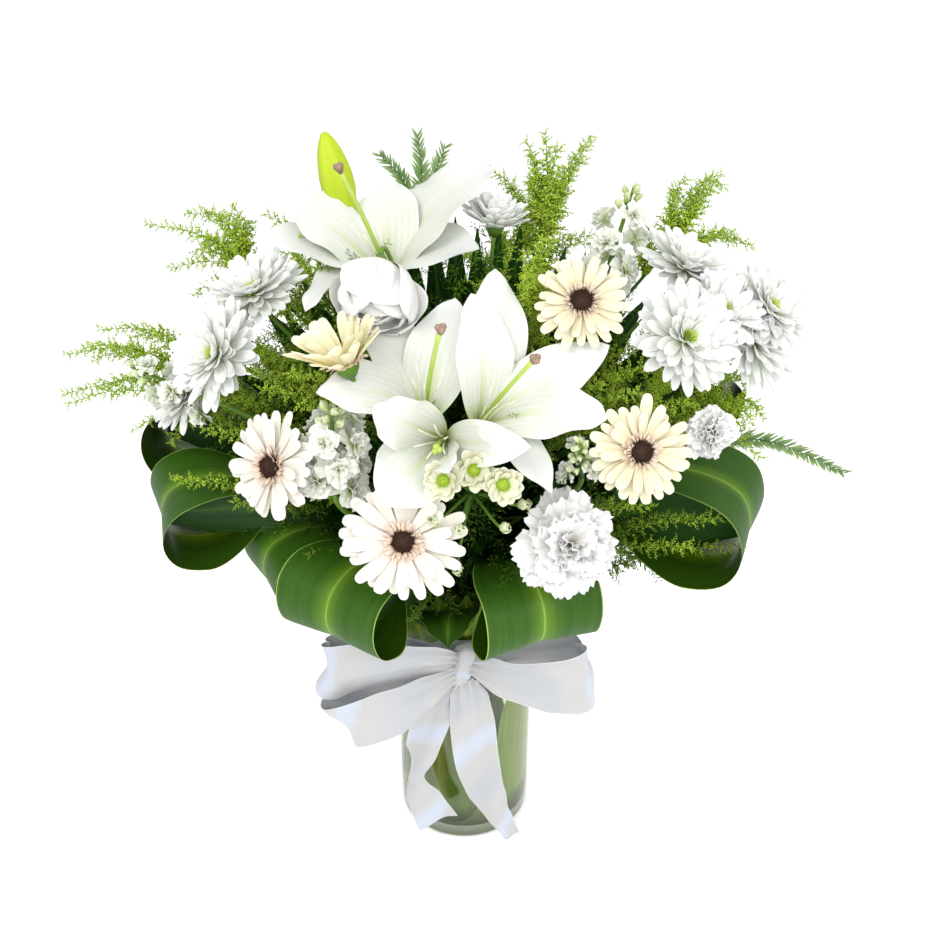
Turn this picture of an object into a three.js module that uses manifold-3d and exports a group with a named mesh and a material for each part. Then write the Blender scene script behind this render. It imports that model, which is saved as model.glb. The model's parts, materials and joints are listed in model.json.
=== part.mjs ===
// Lilies in a vase: a clear glass cylinder of water that holds a dome of lilies, gerberas, chrysanthemums,
// carnations and stock, with goldenrod and needled greens, a skirt of folded broad leaves, and a satin bow.
// Millimetres, +Z up, origin on the surface under the middle of the vase. The front of the bouquet faces -Y.
import * as THREE from "three";
import { mergeVertices } from "three/addons/utils/BufferGeometryUtils.js";
import Module from "manifold-3d";

const wasm = await Module();
wasm.setup();

// ---- driving dimensions ----
const GAP = 0.35; // between pieces that touch
const CLEAR = 0.8; // more, where a slanting stem meets the flat foot of what it carries
const VASE = { radius: 62.5, height: 250, wall: 3.2, base: 14, heel: 8, fillet: 5, lip: 1.4, sides: 24 };
const WATER_LEVEL = 172;
const STEM = { radius: 2.6, sides: 5, twist: 0.5, foot: 17, neck: 262 };
const STEM_RINGS = [
  { count: 7, low: 40, high: 26 },
  { count: 4, low: 19, high: 11 },
];
const BINDING = { radius: 28, height: 254, half: 6, inner: 7, outer: 23, sides: 8 };
const LINING = { radius: 55.6, thickness: 1, low: 20, high: 180, columns: 6, slot: 0.6, slotEdge: 2.5 };
const RIBBON = { width: 38, thickness: 0.8, height: 225 };
const LEAF = { width: 94, thickness: 0.9, petiole: 7, mouth: 50 };
const PETAL_THICKNESS = 0.8;
const SEED = 20261;

const COLOUR = {
  glass: 0xdfe8e2,
  water: 0xc7d6ae,
  satin: 0xeceef2,
  leaf: 0x2c6a1c,
  lining: 0x7ca23e,
  lily: 0xf7f8f0,
  pistil: 0xa9c653,
  bud: 0xb4d43c,
  gerbera: 0xf6efdf,
  gerberaCream: 0xf4ecc4,
  gerberaYellow: 0xf6eab0,
  disc: 0x2a1a14,
  mum: 0xfafbf6,
  daisy: 0xf6f5e4,
  carnation: 0xfbfbf8,
  stock: 0xf4f7ee,
  goldenrod: 0xa7bf37,
  fern: 0x3d6b2c,
  stem: 0x5d8a35,
};

const UP = new THREE.Vector3(0, 0, 1);
const TAU = 2 * Math.PI;
const GOLDEN = 0.618;
const part = new THREE.Group();

// ---- helpers ----
const vec = (x, y, z) => new THREE.Vector3(x, y, z);
const lerp = THREE.MathUtils.lerp;
const deg = THREE.MathUtils.degToRad;
const lerpPoint = (a, b, t) => a.clone().lerp(b, t);

// A repeatable random number between -1 and 1.
let seedNow = SEED;
function jitter() {
  seedNow = (seedNow * 1664525 + 1013904223) % 4294967296;
  return (seedNow / 4294967296) * 2 - 1;
}

// A closed body from points and triangles, turned so that its faces point out.
function closedBody(points, triangles) {
  let volume = 0;
  for (const [a, b, c] of triangles) {
    volume += points[a].dot(vec().crossVectors(points[b], points[c]));
  }
  const outward = volume < 0 ? triangles.map(([a, b, c]) => [a, c, b]) : triangles;
  const geometry = new THREE.BufferGeometry();
  const flat = points.flatMap((p) => [p.x, p.y, p.z]);
  geometry.setAttribute("position", new THREE.Float32BufferAttribute(flat, 3));
  geometry.setIndex(outward.flat());
  return geometry;
}

// A blade over rows of mid-surface points, from root to tip. Its side edges are sharp, and a row may be
// one point. Both faces are split into triangles alike, so a waved blade doesn't cross itself.
function blade(rows, thickness) {
  const points = [];
  const triangles = [];
  const add = (p) => points.push(p) - 1;
  const widest = rows.find((row) => row.length > 1);
  const faces = rows.map((row, i) => {
    if (row.length === 1) {
      const id = add(row[0]);
      return { top: widest.map(() => id), low: widest.map(() => id), point: true };
    }
    const before = rows[Math.max(i - 1, 0)];
    const after = rows[Math.min(i + 1, rows.length - 1)];
    const onRow = (other, j) => other[Math.min(j, other.length - 1)];
    const top = [];
    const low = [];
    row.forEach((p, j) => {
      const edge = j === 0 || j === row.length - 1;
      if (edge) {
        const id = add(p);
        top.push(id);
        low.push(id);
        return;
      }
      const along = vec().subVectors(onRow(after, j), onRow(before, j));
      const across = vec().subVectors(row[j + 1], row[j - 1]);
      const normal = along.cross(across).normalize().multiplyScalar(thickness / 2);
      top.push(add(p.clone().add(normal)));
      low.push(add(p.clone().sub(normal)));
    });
    return { top, low, point: false };
  });
  const tri = (a, b, c) => {
    if (a !== b && b !== c && a !== c) triangles.push([a, b, c]);
  };
  const quad = (a, b, c, d) => {
    tri(a, b, c);
    tri(a, c, d);
  };
  for (let i = 0; i + 1 < faces.length; i++) {
    const { top: t0, low: l0 } = faces[i];
    const { top: t1, low: l1 } = faces[i + 1];
    for (let j = 0; j + 1 < t0.length; j++) {
      quad(t0[j], t0[j + 1], t1[j + 1], t1[j]);
      tri(l0[j], l1[j + 1], l0[j + 1]);
      tri(l0[j], l1[j], l1[j + 1]);
    }
  }
  const cap = ({ top, low }, flip) => {
    for (let j = 0; j + 1 < top.length; j++) {
      if (flip) quad(top[j], low[j], low[j + 1], top[j + 1]);
      else quad(top[j], top[j + 1], low[j + 1], low[j]);
    }
  };
  if (!faces[0].point) cap(faces[0], true);
  if (!faces.at(-1).point) cap(faces.at(-1), false);
  return closedBody(points, triangles);
}

// A blade along a spine. side is its cross direction, one vector or one for each row; cup lifts its edges.
function bladeAlong({ spine, side, widths, columns = 3, cup = 0, wave = 0, thickness = PETAL_THICKNESS }) {
  const rows = spine.map((p, i) => {
    if (widths[i] === 0) return [p.clone()];
    const across = (Array.isArray(side) ? side[i] : side).clone().normalize();
    const before = spine[Math.max(i - 1, 0)];
    const after = spine[Math.min(i + 1, spine.length - 1)];
    const normal = vec().subVectors(after, before).cross(across).normalize();
    return Array.from({ length: columns }, (_, j) => {
      const c = (2 * j) / (columns - 1) - 1;
      const lift = cup * widths[i] * c * c + wave * c * c * Math.sin(2.4 * i + 2 * c);
      return p.clone().addScaledVector(across, (widths[i] / 2) * c).addScaledVector(normal, lift);
    });
  });
  return blade(rows, thickness);
}

// A closed tube of a changing radius along a line of points. spikes makes every other vertex stand out.
function tube(path, radii, sides, spikes = 0) {
  const points = [];
  const triangles = [];
  const tangents = path.map((p, i) =>
    vec().subVectors(path[Math.min(i + 1, path.length - 1)], path[Math.max(i - 1, 0)]).normalize(),
  );
  const start = Math.abs(tangents[0].x) < 0.9 ? vec(1, 0, 0) : vec(0, 1, 0);
  let across = start.cross(tangents[0]).normalize();
  path.forEach((p, i) => {
    across = across.sub(tangents[i].clone().multiplyScalar(across.dot(tangents[i]))).normalize();
    const other = vec().crossVectors(tangents[i], across);
    const radius = Array.isArray(radii) ? radii[i] : radii;
    for (let j = 0; j < sides; j++) {
      const angle = (TAU * j) / sides + i * 0.4 * Math.sign(spikes);
      const r = radius * (1 + spikes * ((i + j) % 2 ? 1 : -0.35));
      points.push(
        p.clone()
          .addScaledVector(across, r * Math.cos(angle))
          .addScaledVector(other, r * Math.sin(angle)),
      );
    }
  });
  for (let i = 0; i + 1 < path.length; i++) {
    for (let j = 0; j < sides; j++) {
      const a = i * sides + j;
      const b = i * sides + ((j + 1) % sides);
      triangles.push([a, b, b + sides], [a, b + sides, a + sides]);
    }
  }
  const last = (path.length - 1) * sides;
  for (let j = 1; j + 1 < sides; j++) {
    triangles.push([0, j + 1, j], [last, last + j, last + j + 1]);
  }
  return closedBody(points, triangles);
}

const curve = (points, steps) => new THREE.CatmullRomCurve3(points, false, "centripetal").getPoints(steps);

// A lathe turned about +Z. Its profile is [radius, height]: from axis to axis, or closed on itself.
function turned(profile, sides) {
  const points = profile.map(([r, z]) => new THREE.Vector2(r, z));
  return new THREE.LatheGeometry(points, sides).rotateX(Math.PI / 2);
}

// ---- joins and cuts ----
function solid(geometry) {
  const bare = new THREE.BufferGeometry();
  bare.setAttribute("position", geometry.getAttribute("position"));
  if (geometry.index) bare.setIndex(geometry.index);
  const merged = mergeVertices(bare, 1e-4);
  return new wasm.Manifold(
    new wasm.Mesh({
      numProp: 3,
      vertProperties: merged.attributes.position.array,
      triVerts: new Uint32Array(merged.index.array),
    }),
  );
}

function surface(body) {
  const mesh = body.getMesh();
  const geometry = new THREE.BufferGeometry();
  geometry.setAttribute("position", new THREE.BufferAttribute(new Float32Array(mesh.vertProperties), 3));
  geometry.setIndex(new THREE.BufferAttribute(new Uint32Array(mesh.triVerts), 1));
  return geometry;
}

// Several closed bodies grown together as one; a scrap that hangs loose is dropped.
function fused(geometries) {
  const joined = wasm.Manifold.union(geometries.map(solid));
  const bodies = joined.decompose().sort((a, b) => b.volume() - a.volume());
  return surface(bodies[0]);
}

function node(name, geometry, colour, roughness = 0.6, more = {}) {
  const material = new THREE.MeshStandardMaterial({ color: colour, roughness, metalness: 0, ...more });
  const mesh = new THREE.Mesh(geometry, material);
  mesh.name = name;
  part.add(mesh);
  return mesh;
}

// Places a bloom that was made with its face up +Z: at is where its middle stands, axis is the way it faces.
function place(mesh, at, axis, spin = 0) {
  mesh.position.set(...at);
  mesh.quaternion.setFromUnitVectors(UP, vec(...axis).normalize());
  mesh.rotateZ(spin);
  return mesh;
}

// Each bloom or spray that is carried asks for one stem, which ends just under it.
const carried = [];
function carry(at, axis, foot, radius = 1.6, reach = 55) {
  const way = vec(...axis).normalize();
  carried.push({ end: vec(...at).addScaledVector(way, -foot - GAP), way, radius, reach });
}

// ---- vase, water and what stands in it ----
function vase() {
  const { radius, height, wall, base, heel, lip, sides } = VASE;
  const inner = radius - wall;
  const profile = [
    [0, 0],
    [radius - heel, 0],
    [radius - heel * 0.29, heel * 0.29],
    [radius, heel],
    [radius, height - lip],
    [radius - wall / 2, height],
    [inner, height - lip],
    [inner, base + VASE.fillet],
    [inner - VASE.fillet, base],
    [0, base],
  ];
  node("vase", turned(profile, sides), COLOUR.glass, 0.05, { transparent: true, opacity: 0.35 });
}

// The straight runs of the main stems: they lean round the vase, so that none meets another below the neck.
function stemRuns() {
  const runs = [];
  STEM_RINGS.forEach(({ count, low, high }, ring) => {
    for (let k = 0; k < count; k++) {
      const angle = (TAU * k) / count + ring * 0.35;
      const turn = angle + STEM.twist;
      const foot = vec(low * Math.cos(angle), low * Math.sin(angle), STEM.foot + 2 * (k % 3));
      const neck = vec(high * Math.cos(turn), high * Math.sin(turn), STEM.neck);
      runs.push({ foot, neck });
    }
  });
  return runs;
}
const RUNS = stemRuns();

// A sheet bent to the inside of the glass: azimuths in degrees from the front, towards +X.
// grow thickens it into the slot that the water keeps clear for it, and then its sharp edges lie further out.
function liningSheet(from, to, lean, grow) {
  const rows = [];
  const rowCount = 5;
  for (let i = 0; i < rowCount; i++) {
    const t = i / (rowCount - 1);
    const z = lerp(LINING.low - grow, LINING.high + grow, t);
    const half = ((to - from) / 2) * Math.sqrt(1 - (2 * t - 1) ** 4 * 0.75);
    const middle = (from + to) / 2 + lean * (t - 0.5);
    const last = LINING.columns - 1;
    const spread = Array.from({ length: LINING.columns }, (_, j) => half * ((2 * j) / last - 1));
    const angles = grow ? [-half - LINING.slotEdge, ...spread, half + LINING.slotEdge] : spread;
    rows.push(
      angles.map((offset) => {
        const angle = deg(middle + offset);
        return vec(LINING.radius * Math.sin(angle), -LINING.radius * Math.cos(angle), z);
      }),
    );
  }
  return blade(rows, LINING.thickness + 2 * grow);
}
const LINING_LEAVES = [
  ["lining_leaf_left", -78, 18, 0],
  ["lining_leaf_right", 30, 112, 14],
];

function waterAndLining() {
  const radius = VASE.radius - VASE.wall - GAP;
  const low = VASE.base + GAP;
  const heel = VASE.fillet + GAP;
  const top = WATER_LEVEL;
  const profile = [[0, low], [radius - heel, low], [radius, low + heel], [radius, top], [0, top]];
  let body = solid(turned(profile, VASE.sides));
  for (const { foot, neck } of RUNS) {
    const way = vec().subVectors(neck, foot).normalize();
    const path = [foot.clone().addScaledVector(way, -1), neck];
    body = body.subtract(solid(tube(path, STEM.radius + GAP + 0.2, STEM.sides)));
  }
  for (const [name, from, to, lean] of LINING_LEAVES) {
    node(name, liningSheet(from, to, lean, 0), COLOUR.lining);
    body = body.subtract(solid(liningSheet(from, to, lean, LINING.slot)));
  }
  node("water", surface(body), COLOUR.water, 0.02, { transparent: true, opacity: 0.3 });
}

// ---- satin ribbon ----
function ribbonBand() {
  const inner = VASE.radius + GAP;
  const outer = inner + RIBBON.thickness;
  const low = RIBBON.height - RIBBON.width / 2;
  const high = RIBBON.height + RIBBON.width / 2;
  const ring = [[inner, low], [outer, low], [outer, high], [inner, high], [inner, low]];
  node("ribbon_band", turned(ring, VASE.sides), COLOUR.satin, 0.3);
}

// A run of the bow: its middle line, and the lie of its width at each point.
function strip(line, lie, width = RIBBON.width, widths = []) {
  const side = lie.map((v) => vec(...v));
  const spine = line.map((p) => vec(...p));
  return bladeAlong({
    spine,
    side,
    widths: spine.map((_, i) => width * (widths[i] ?? 1)),
    thickness: RIBBON.thickness * 1.5,
  });
}

function ribbonBow() {
  const knot = turned([[0, -22], [8, -18], [10.5, -6], [9, 5], [11, 15], [7, 22], [0, 23]], 8)
    .scale(1, 0.75, 1)
    .rotateY(deg(16))
    .translate(-1, -75, 226);
  const pieces = [
    knot,
    // upper left loop, out and back
    strip([[-2, -76, 232], [-36, -92, 243], [-78, -97, 242], [-118, -86, 232]],
      [[0, 0, 1], [0.1, -0.2, 1], [0.1, -0.2, 1], [0.3, -0.2, 1]], 44, [0.4, 0.9, 1.1, 1]),
    strip([[-118, -86, 232], [-114, -72, 232], [-78, -70, 236], [-40, -72, 235], [-4, -74, 228]],
      [[0.3, -0.2, 1], [0.2, 0, 1], [0, 0, 1], [0, 0, 1], [0, 0, 1]], 44, [1, 1, 0.9, 0.7, 0.4]),
    // lower left loop
    strip([[-4, -78, 222], [-36, -94, 208], [-68, -102, 194], [-106, -100, 181]],
      [[0, 0, 1], [-0.15, -0.1, 1], [-0.3, -0.1, 1], [-0.5, -0.1, 1]], 44, [0.35, 0.8, 1.1, 1.15]),
    strip([[-106, -100, 181], [-104, -84, 182], [-70, -80, 195], [-40, -75, 212], [-6, -72, 221]],
      [[-0.5, -0.1, 1], [-0.4, 0, 1], [-0.3, 0, 1], [-0.2, 0, 1], [0, 0, 1]], 44, [1.15, 1, 0.8, 0.6, 0.35]),
    // right loop
    strip([[2, -78, 228], [36, -96, 224], [74, -106, 222], [100, -100, 221]],
      [[0, 0, 1], [-0.1, -0.2, 1], [-0.2, -0.2, 1], [-0.2, -0.2, 1]], 44, [0.4, 0.85, 1.15, 1.2]),
    strip([[100, -100, 221], [108, -86, 226], [96, -74, 233], [60, -70, 234], [30, -71, 232], [3, -73, 228]],
      [[-0.2, -0.2, 1], [-0.3, 0, 1], [-0.2, 0, 1], [0, 0, 1], [0, 0, 1], [0, 0, 1]],
      44, [1.2, 1.1, 1, 0.8, 0.6, 0.4]),
    // left tail
    strip([[-6, -78, 214], [-17, -78, 196], [-28, -77, 170], [-38, -75, 130], [-45, -72, 100],
      [-37, -73, 66], [-24, -75, 38]],
      [[1, 0, 0.4], [1, 0, 0.4], [1, 0, 0.25], [1, -0.2, 0.1], [0.6, -0.8, 0], [1, -0.2, 0.2], [1, 0, 0.5]],
      RIBBON.width, [0.45, 0.75, 0.85, 0.75, 0.6, 0.85, 1]),
    // right tail
    strip([[2, -79, 214], [5, -80, 192], [8, -80, 160], [12, -79, 120], [20, -78, 80],
      [32, -78, 46], [45, -78, 22]],
      [[1, 0, 0], [1, 0, 0], [1, 0, 0], [1, 0, 0.1], [1, 0, 0.3], [0.9, 0, 0.5], [0.8, -0.3, 0.6]],
      RIBBON.width, [0.5, 0.85, 1, 1, 0.9, 0.6, 0.42]),
  ];
  node("ribbon_bow", fused(pieces), COLOUR.satin, 0.3);
}

// ---- folded broad leaves ----
// Each leaf stands in the mouth of the vase, runs out and up, and is rolled down and back under itself.
// azimuth is in degrees from the front towards +X; reach, rise and roll are the fold's radius, height, depth.
const FOLDED_LEAVES = [
  { name: "leaf_front_left", azimuth: -33, reach: 188, rise: 338, roll: 56 },
  { name: "leaf_left_front", azimuth: -60, reach: 184, rise: 339, roll: 52, width: 68 },
  { name: "leaf_left", azimuth: -71, reach: 250, rise: 384, roll: 54 },
  { name: "leaf_left_high", azimuth: -95, reach: 258, rise: 410, roll: 58 },
  { name: "leaf_front_right", azimuth: 21, reach: 172, rise: 334, roll: 54 },
  { name: "leaf_right", azimuth: 67, reach: 242, rise: 382, roll: 74 },
  { name: "leaf_right_high", azimuth: 97, reach: 226, rise: 438, roll: 50, width: 60 },
  { name: "leaf_back_left", azimuth: -138, reach: 196, rise: 372, roll: 58 },
  { name: "leaf_back", azimuth: 178, reach: 186, rise: 344, roll: 56 },
  { name: "leaf_back_right", azimuth: 137, reach: 198, rise: 380, roll: 58 },
];

function foldedLeaf({ name, azimuth, reach, rise, roll, width = LEAF.width }) {
  const out = vec(Math.sin(deg(azimuth)), -Math.cos(deg(azimuth)), 0);
  const side = vec(-out.y, out.x, 0);
  const r = roll / 2;
  const mouth = VASE.height - 12;
  const top = rise + r;
  const line = [
    [LEAF.mouth, mouth],
    [LEAF.mouth + 3, mouth + 26],
    [lerp(LEAF.mouth, reach, 0.22), lerp(mouth, top, 0.62)],
    [reach - r * 2.3, top - 5],
    [reach - r, top],
    [reach - r * 0.25, rise + r * 0.68],
    [reach, rise],
    [reach - r * 0.28, rise - r * 0.7],
    [reach - r, rise - r],
    [reach - r * 1.9, rise - r * 0.9],
    [reach - r * 3.1, rise - r * 0.45],
  ];
  const spine = curve(line.map(([u, v]) => out.clone().multiplyScalar(u).setZ(v)), 11);
  const last = spine.length - 1;
  const widths = spine.map((_, i) => {
    const t = i / last;
    const grown = THREE.MathUtils.smoothstep(t, 0.12, 0.42);
    const tip = Math.sqrt(Math.max(0, 1 - THREE.MathUtils.smoothstep(t, 0.8, 1.02)));
    return i === last ? 0 : lerp(LEAF.petiole, width, grown) * tip;
  });
  node(name, bladeAlong({ spine, side, widths, thickness: LEAF.thickness, cup: -0.03 }), COLOUR.leaf, 0.35);
}

// A short leaf that stands up in the mouth and closes the gap between the two front folds.
function shortLeaf() {
  const line = [[-6, -50, 238], [-8, -54, 258], [-10, -72, 282], [-12, -104, 296], [-12, -128, 288]];
  const spine = curve(line.map((p) => vec(...p)), 6);
  const widths = [LEAF.petiole, 14, 30, 46, 50, 34, 0];
  const side = vec(1, -0.1, 0.15);
  const leaf = bladeAlong({ spine, side, widths, thickness: LEAF.thickness, cup: 0.06 });
  node("leaf_front_short", leaf, COLOUR.leaf, 0.35);
}

// ---- lilies ----
// base is where the flower joins its stalk; a petal is [x, y, z of its tip, width].
const LILY = { throat: 40, spread: 14, core: 4, coreTop: 13, pistil: 86 };
const LILY_ROWS = [0, 0.26, 0.52, 0.8, 1];
const LILY_SHAPE = [0.14, 0.36, 0.94, 0.86, 0];
const LILIES = {
  back: {
    base: [-52, -12, 545],
    axis: [-0.32, -0.15, 0.93],
    petals: [
      [-134, -5, 612, 34],
      [-146, -32, 592, 42],
      [-112, -78, 552, 30],
      [12, -48, 588, 42],
      [26, 22, 628, 46],
      [-56, 38, 612, 34],
    ],
  },
  left: {
    base: [-27, -122, 484],
    axis: [0.08, -0.42, 0.9],
    petals: [
      [-70, -68, 548, 36],
      [-5, -78, 562, 40],
      [-98, -148, 522, 42],
    ],
  },
  right: {
    base: [10, -120, 480],
    axis: [0.33, -0.5, 0.8],
    petals: [
      [23, -68, 580, 42],
      [102, -110, 540, 38],
      [98, -152, 504, 42],
      [60, -186, 466, 32],
      [6, -100, 574, 40],
      [27, -192, 494, 34],
    ],
  },
  low: {
    base: [-12, -122, 472],
    axis: [-0.15, -0.88, 0.45],
    petals: [
      [-52, -198, 464, 44],
      [44, -198, 508, 38],
      [-56, -186, 532, 36],
      [-8, -206, 494, 28],
    ],
  },
};

function lilyPetals({ base, axis, petals }) {
  const way = vec(...axis).normalize();
  const origin = vec(...base);
  const bodies = petals.map(([x, y, z, width], k) => {
    const tip = vec(x, y, z).sub(origin);
    const out = tip.clone().addScaledVector(way, -tip.dot(way)).normalize();
    const path = new THREE.CubicBezierCurve3(
      way.clone().multiplyScalar(1),
      way.clone().multiplyScalar(LILY.throat).addScaledVector(out, LILY.spread),
      tip.clone().multiplyScalar(0.66).addScaledVector(way, k % 2 ? 14 : 26),
      tip,
    );
    return bladeAlong({
      spine: LILY_ROWS.map((t) => path.getPoint(t)),
      side: vec().crossVectors(way, out),
      widths: LILY_SHAPE.map((w) => w * width),
      cup: 0.12,
      wave: 1.4,
      thickness: PETAL_THICKNESS,
    }).translate(...base);
  });
  const core = tube(
    [-LILY.core, LILY.coreTop].map((t) => origin.clone().addScaledVector(way, t)),
    [LILY.core, LILY.core * 0.8],
    6,
  );
  return [...bodies, core];
}

// The green style stands in the throat and swells into a stigma at its end.
function pistil(name, { base, axis }, length, bend) {
  const way = vec(...axis).normalize();
  const start = vec(...base).addScaledVector(way, LILY.coreTop + GAP);
  const line = [0, 0.35, 0.7, 0.93, 0.96, 1].map((t) =>
    start.clone().addScaledVector(way, length * t).addScaledVector(vec(...bend), t * t),
  );
  node(name, tube(line, [2.4, 1.4, 1.3, 1.5, 3.6, 2.8], 5), COLOUR.pistil);
}

function lilyBud() {
  const at = [-88, 16, 578];
  const axis = [-0.2, 0.1, 0.97];
  const profile = [[0, 0], [4, 2], [9, 16], [12.5, 34], [11, 54], [6, 70], [0, 78]];
  place(node("lily_bud", turned(profile, 9), COLOUR.bud), at, axis);
  carry(at, axis, 0, 2, 60);
}

function lilies() {
  node("lily_back", fused(lilyPetals(LILIES.back)), COLOUR.lily, 0.45);
  carry(LILIES.back.base, LILIES.back.axis, LILY.core, 2.4, 80);
  const front = [LILIES.left, LILIES.right, LILIES.low];
  node("lilies_front", fused(front.flatMap(lilyPetals)), COLOUR.lily, 0.45);
  front.forEach(({ base, axis }) => carry(base, axis, LILY.core + CLEAR, 2.2, 60));
  pistil("lily_pistil_back", LILIES.back, LILY.pistil, [-4, -6, 6]);
  pistil("lily_pistil_left", LILIES.left, LILY.pistil, [6, -4, 4]);
  pistil("lily_pistil_right", LILIES.right, LILY.pistil * 0.9, [8, 2, 2]);
  lilyBud();
}

// ---- rayed blooms: gerberas, chrysanthemums and small daisies ----
// One layer of rays as a single body. They spring from its middle, part at the notch, are widest at wide and
// end at reach. crown and heel are the heights of its centre above and below; rise and tip those of the rays.
function star({ count, notch, wide, reach, width, crown, heel, rise, tip, turn = 0 }) {
  const half = PETAL_THICKNESS / 2;
  const points = [vec(0, 0, crown), vec(0, 0, heel)];
  const step = TAU / count;
  const at = (r, angle, z) => vec(r * Math.cos(angle), r * Math.sin(angle), z);
  const open = width / 2 / wide;
  for (let k = 0; k < count; k++) {
    const angle = turn + step * k;
    const swing = 0.06 * step * jitter();
    const long = reach * (1 + 0.05 * jitter());
    points.push(at(notch, angle - step / 2, rise - 1.2));
    points.push(at(wide, angle - open, rise + 0.8));
    points.push(at(long, angle + swing, tip + 1.2 * jitter()));
    points.push(at(wide, angle + open, rise + 0.8));
    points.push(at(wide, angle, rise + half));
    points.push(at(wide, angle, rise - half));
  }
  const triangles = [];
  for (let k = 0; k < count; k++) {
    const [notchAt, left, end, right, top, low] = [0, 1, 2, 3, 4, 5].map((n) => 2 + 6 * k + n);
    const next = 2 + 6 * ((k + 1) % count);
    [
      [0, top, false],
      [1, low, true],
    ].forEach(([centre, ridge, flip]) => {
      const fan = [centre, notchAt, left, end, right, next, centre];
      for (let n = 0; n + 1 < fan.length; n++) {
        triangles.push(flip ? [fan[n + 1], fan[n], ridge] : [fan[n], fan[n + 1], ridge]);
      }
    });
  }
  return closedBody(points, triangles);
}

// disc and eye are the radii of the dark disc and of the dimple in it.
const GERBERA = { disc: 7.8, eye: 3, seat: 1.2, receptacle: 9 };
function gerbera(name, { at, axis, radius, colour, tip = 5 }) {
  const { disc, eye, seat, receptacle } = GERBERA;
  const outer = { count: 15, notch: 13, wide: radius * 0.74, reach: radius, width: 11 };
  const inner = { count: 8, notch: 10, wide: radius * 0.52, reach: radius * 0.76, width: 10, turn: 0.2 };
  const bodies = [
    star({ ...outer, crown: -1.4, heel: -receptacle, rise: 0, tip: tip - 4 }),
    star({ ...inner, crown: seat, heel: -4, rise: 4.2, tip }),
  ];
  place(node(name, fused(bodies), colour), at, axis, 0.2);
  const low = seat + 2.6;
  const profile = [
    [0, low],
    [disc - 2, low],
    [disc, low + 2],
    [(disc + eye) / 2, low + 3.6],
    [eye, low + 2.8],
    [0, low + 3.2],
  ];
  place(node(name + "_disc", turned(profile, 9), COLOUR.disc, 0.9), at, axis, 0.2);
  carry(at, axis, receptacle, 2, 50);
}
const GERBERAS = {
  gerbera_front: { at: [-40, -186, 428], axis: [-0.05, -0.9, 0.42], radius: 41, colour: COLOUR.gerbera },
  gerbera_left: { at: [-131, -150, 466], axis: [-0.55, -0.74, 0.38], radius: 36, colour: COLOUR.gerbera },
  gerbera_back: { at: [82, -98, 567], axis: [0.0, -0.78, 0.62], radius: 31, colour: COLOUR.gerberaCream },
  gerbera_right: { at: [121, -157, 482], axis: [0.2, -0.86, 0.46], radius: 34, colour: COLOUR.gerberaCream },
  gerbera_yellow: {
    at: [-88, -142, 548], axis: [-0.3, -0.2, 0.93], radius: 34, colour: COLOUR.gerberaYellow, tip: 15,
  },
};

function chrysanthemum(name, { at, axis, radius, tip = 1 }) {
  const outer = { count: 10, notch: 9, wide: radius * 0.68, reach: radius, width: 8.6 };
  const inner = { count: 7, notch: 8, wide: radius * 0.54, reach: radius * 0.78, width: 8, turn: 0.2 };
  const bodies = [
    star({ ...outer, crown: -1, heel: -8, rise: 0, tip }),
    star({ ...inner, crown: 9, heel: -4, rise: 5, tip: tip + 7 }),
  ];
  place(node(name, fused(bodies), COLOUR.mum), at, axis);
  carry(at, axis, 8, 1.5, 40);
}
const CHRYSANTHEMUMS = {
  mum_left_high: { at: [-152, -50, 554], axis: [-0.3, -0.3, 0.9], radius: 31 },
  mum_left: { at: [-174, -92, 524], axis: [-0.5, -0.62, 0.6], radius: 33 },
  mum_right: { at: [157, -94, 538], axis: [0.3, -0.75, 0.58], radius: 33 },
  mum_right_outer: { at: [214, -60, 522], axis: [0.75, -0.35, 0.55], radius: 33 },
  mum_right_high: { at: [164, -28, 566], axis: [0.35, -0.2, 0.92], radius: 31 },
  mum_top: { at: [24, -8, 592], axis: [0.1, -0.15, 0.98], radius: 23, tip: 8 },
  mum_back: { at: [-70, 110, 540], axis: [-0.25, 0.7, 0.66], radius: 33 },
};

// Small daisies on one branched stalk.
function daisySpray(name, { foot, heads, radius }) {
  const bodies = heads.flatMap(({ at, axis }) => {
    const turn = new THREE.Quaternion().setFromUnitVectors(UP, vec(...axis).normalize());
    const layer = { count: 8, notch: 6, wide: radius * 0.66, reach: radius, width: 6.4 };
    const head = star({ ...layer, crown: 6, heel: -7, rise: 2, tip: 5 });
    head.applyQuaternion(turn).translate(...at);
    const neck = vec(...at).addScaledVector(vec(...axis).normalize(), -4);
    return [head, tube([vec(...foot), neck], 1.4, 3)];
  });
  node(name, fused(bodies), COLOUR.daisy);
  carry(foot, [0, -0.7, 0.7], 1.5, 1.4, 30);
}
const DAISIES = {
  foot: [6, -138, 436],
  radius: 14,
  heads: [
    { at: [-12, -176, 461], axis: [-0.1, -0.9, 0.4] },
    { at: [7, -155, 470], axis: [0, -0.85, 0.5] },
    { at: [26, -174, 460], axis: [0.1, -0.9, 0.4] },
  ],
};

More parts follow.
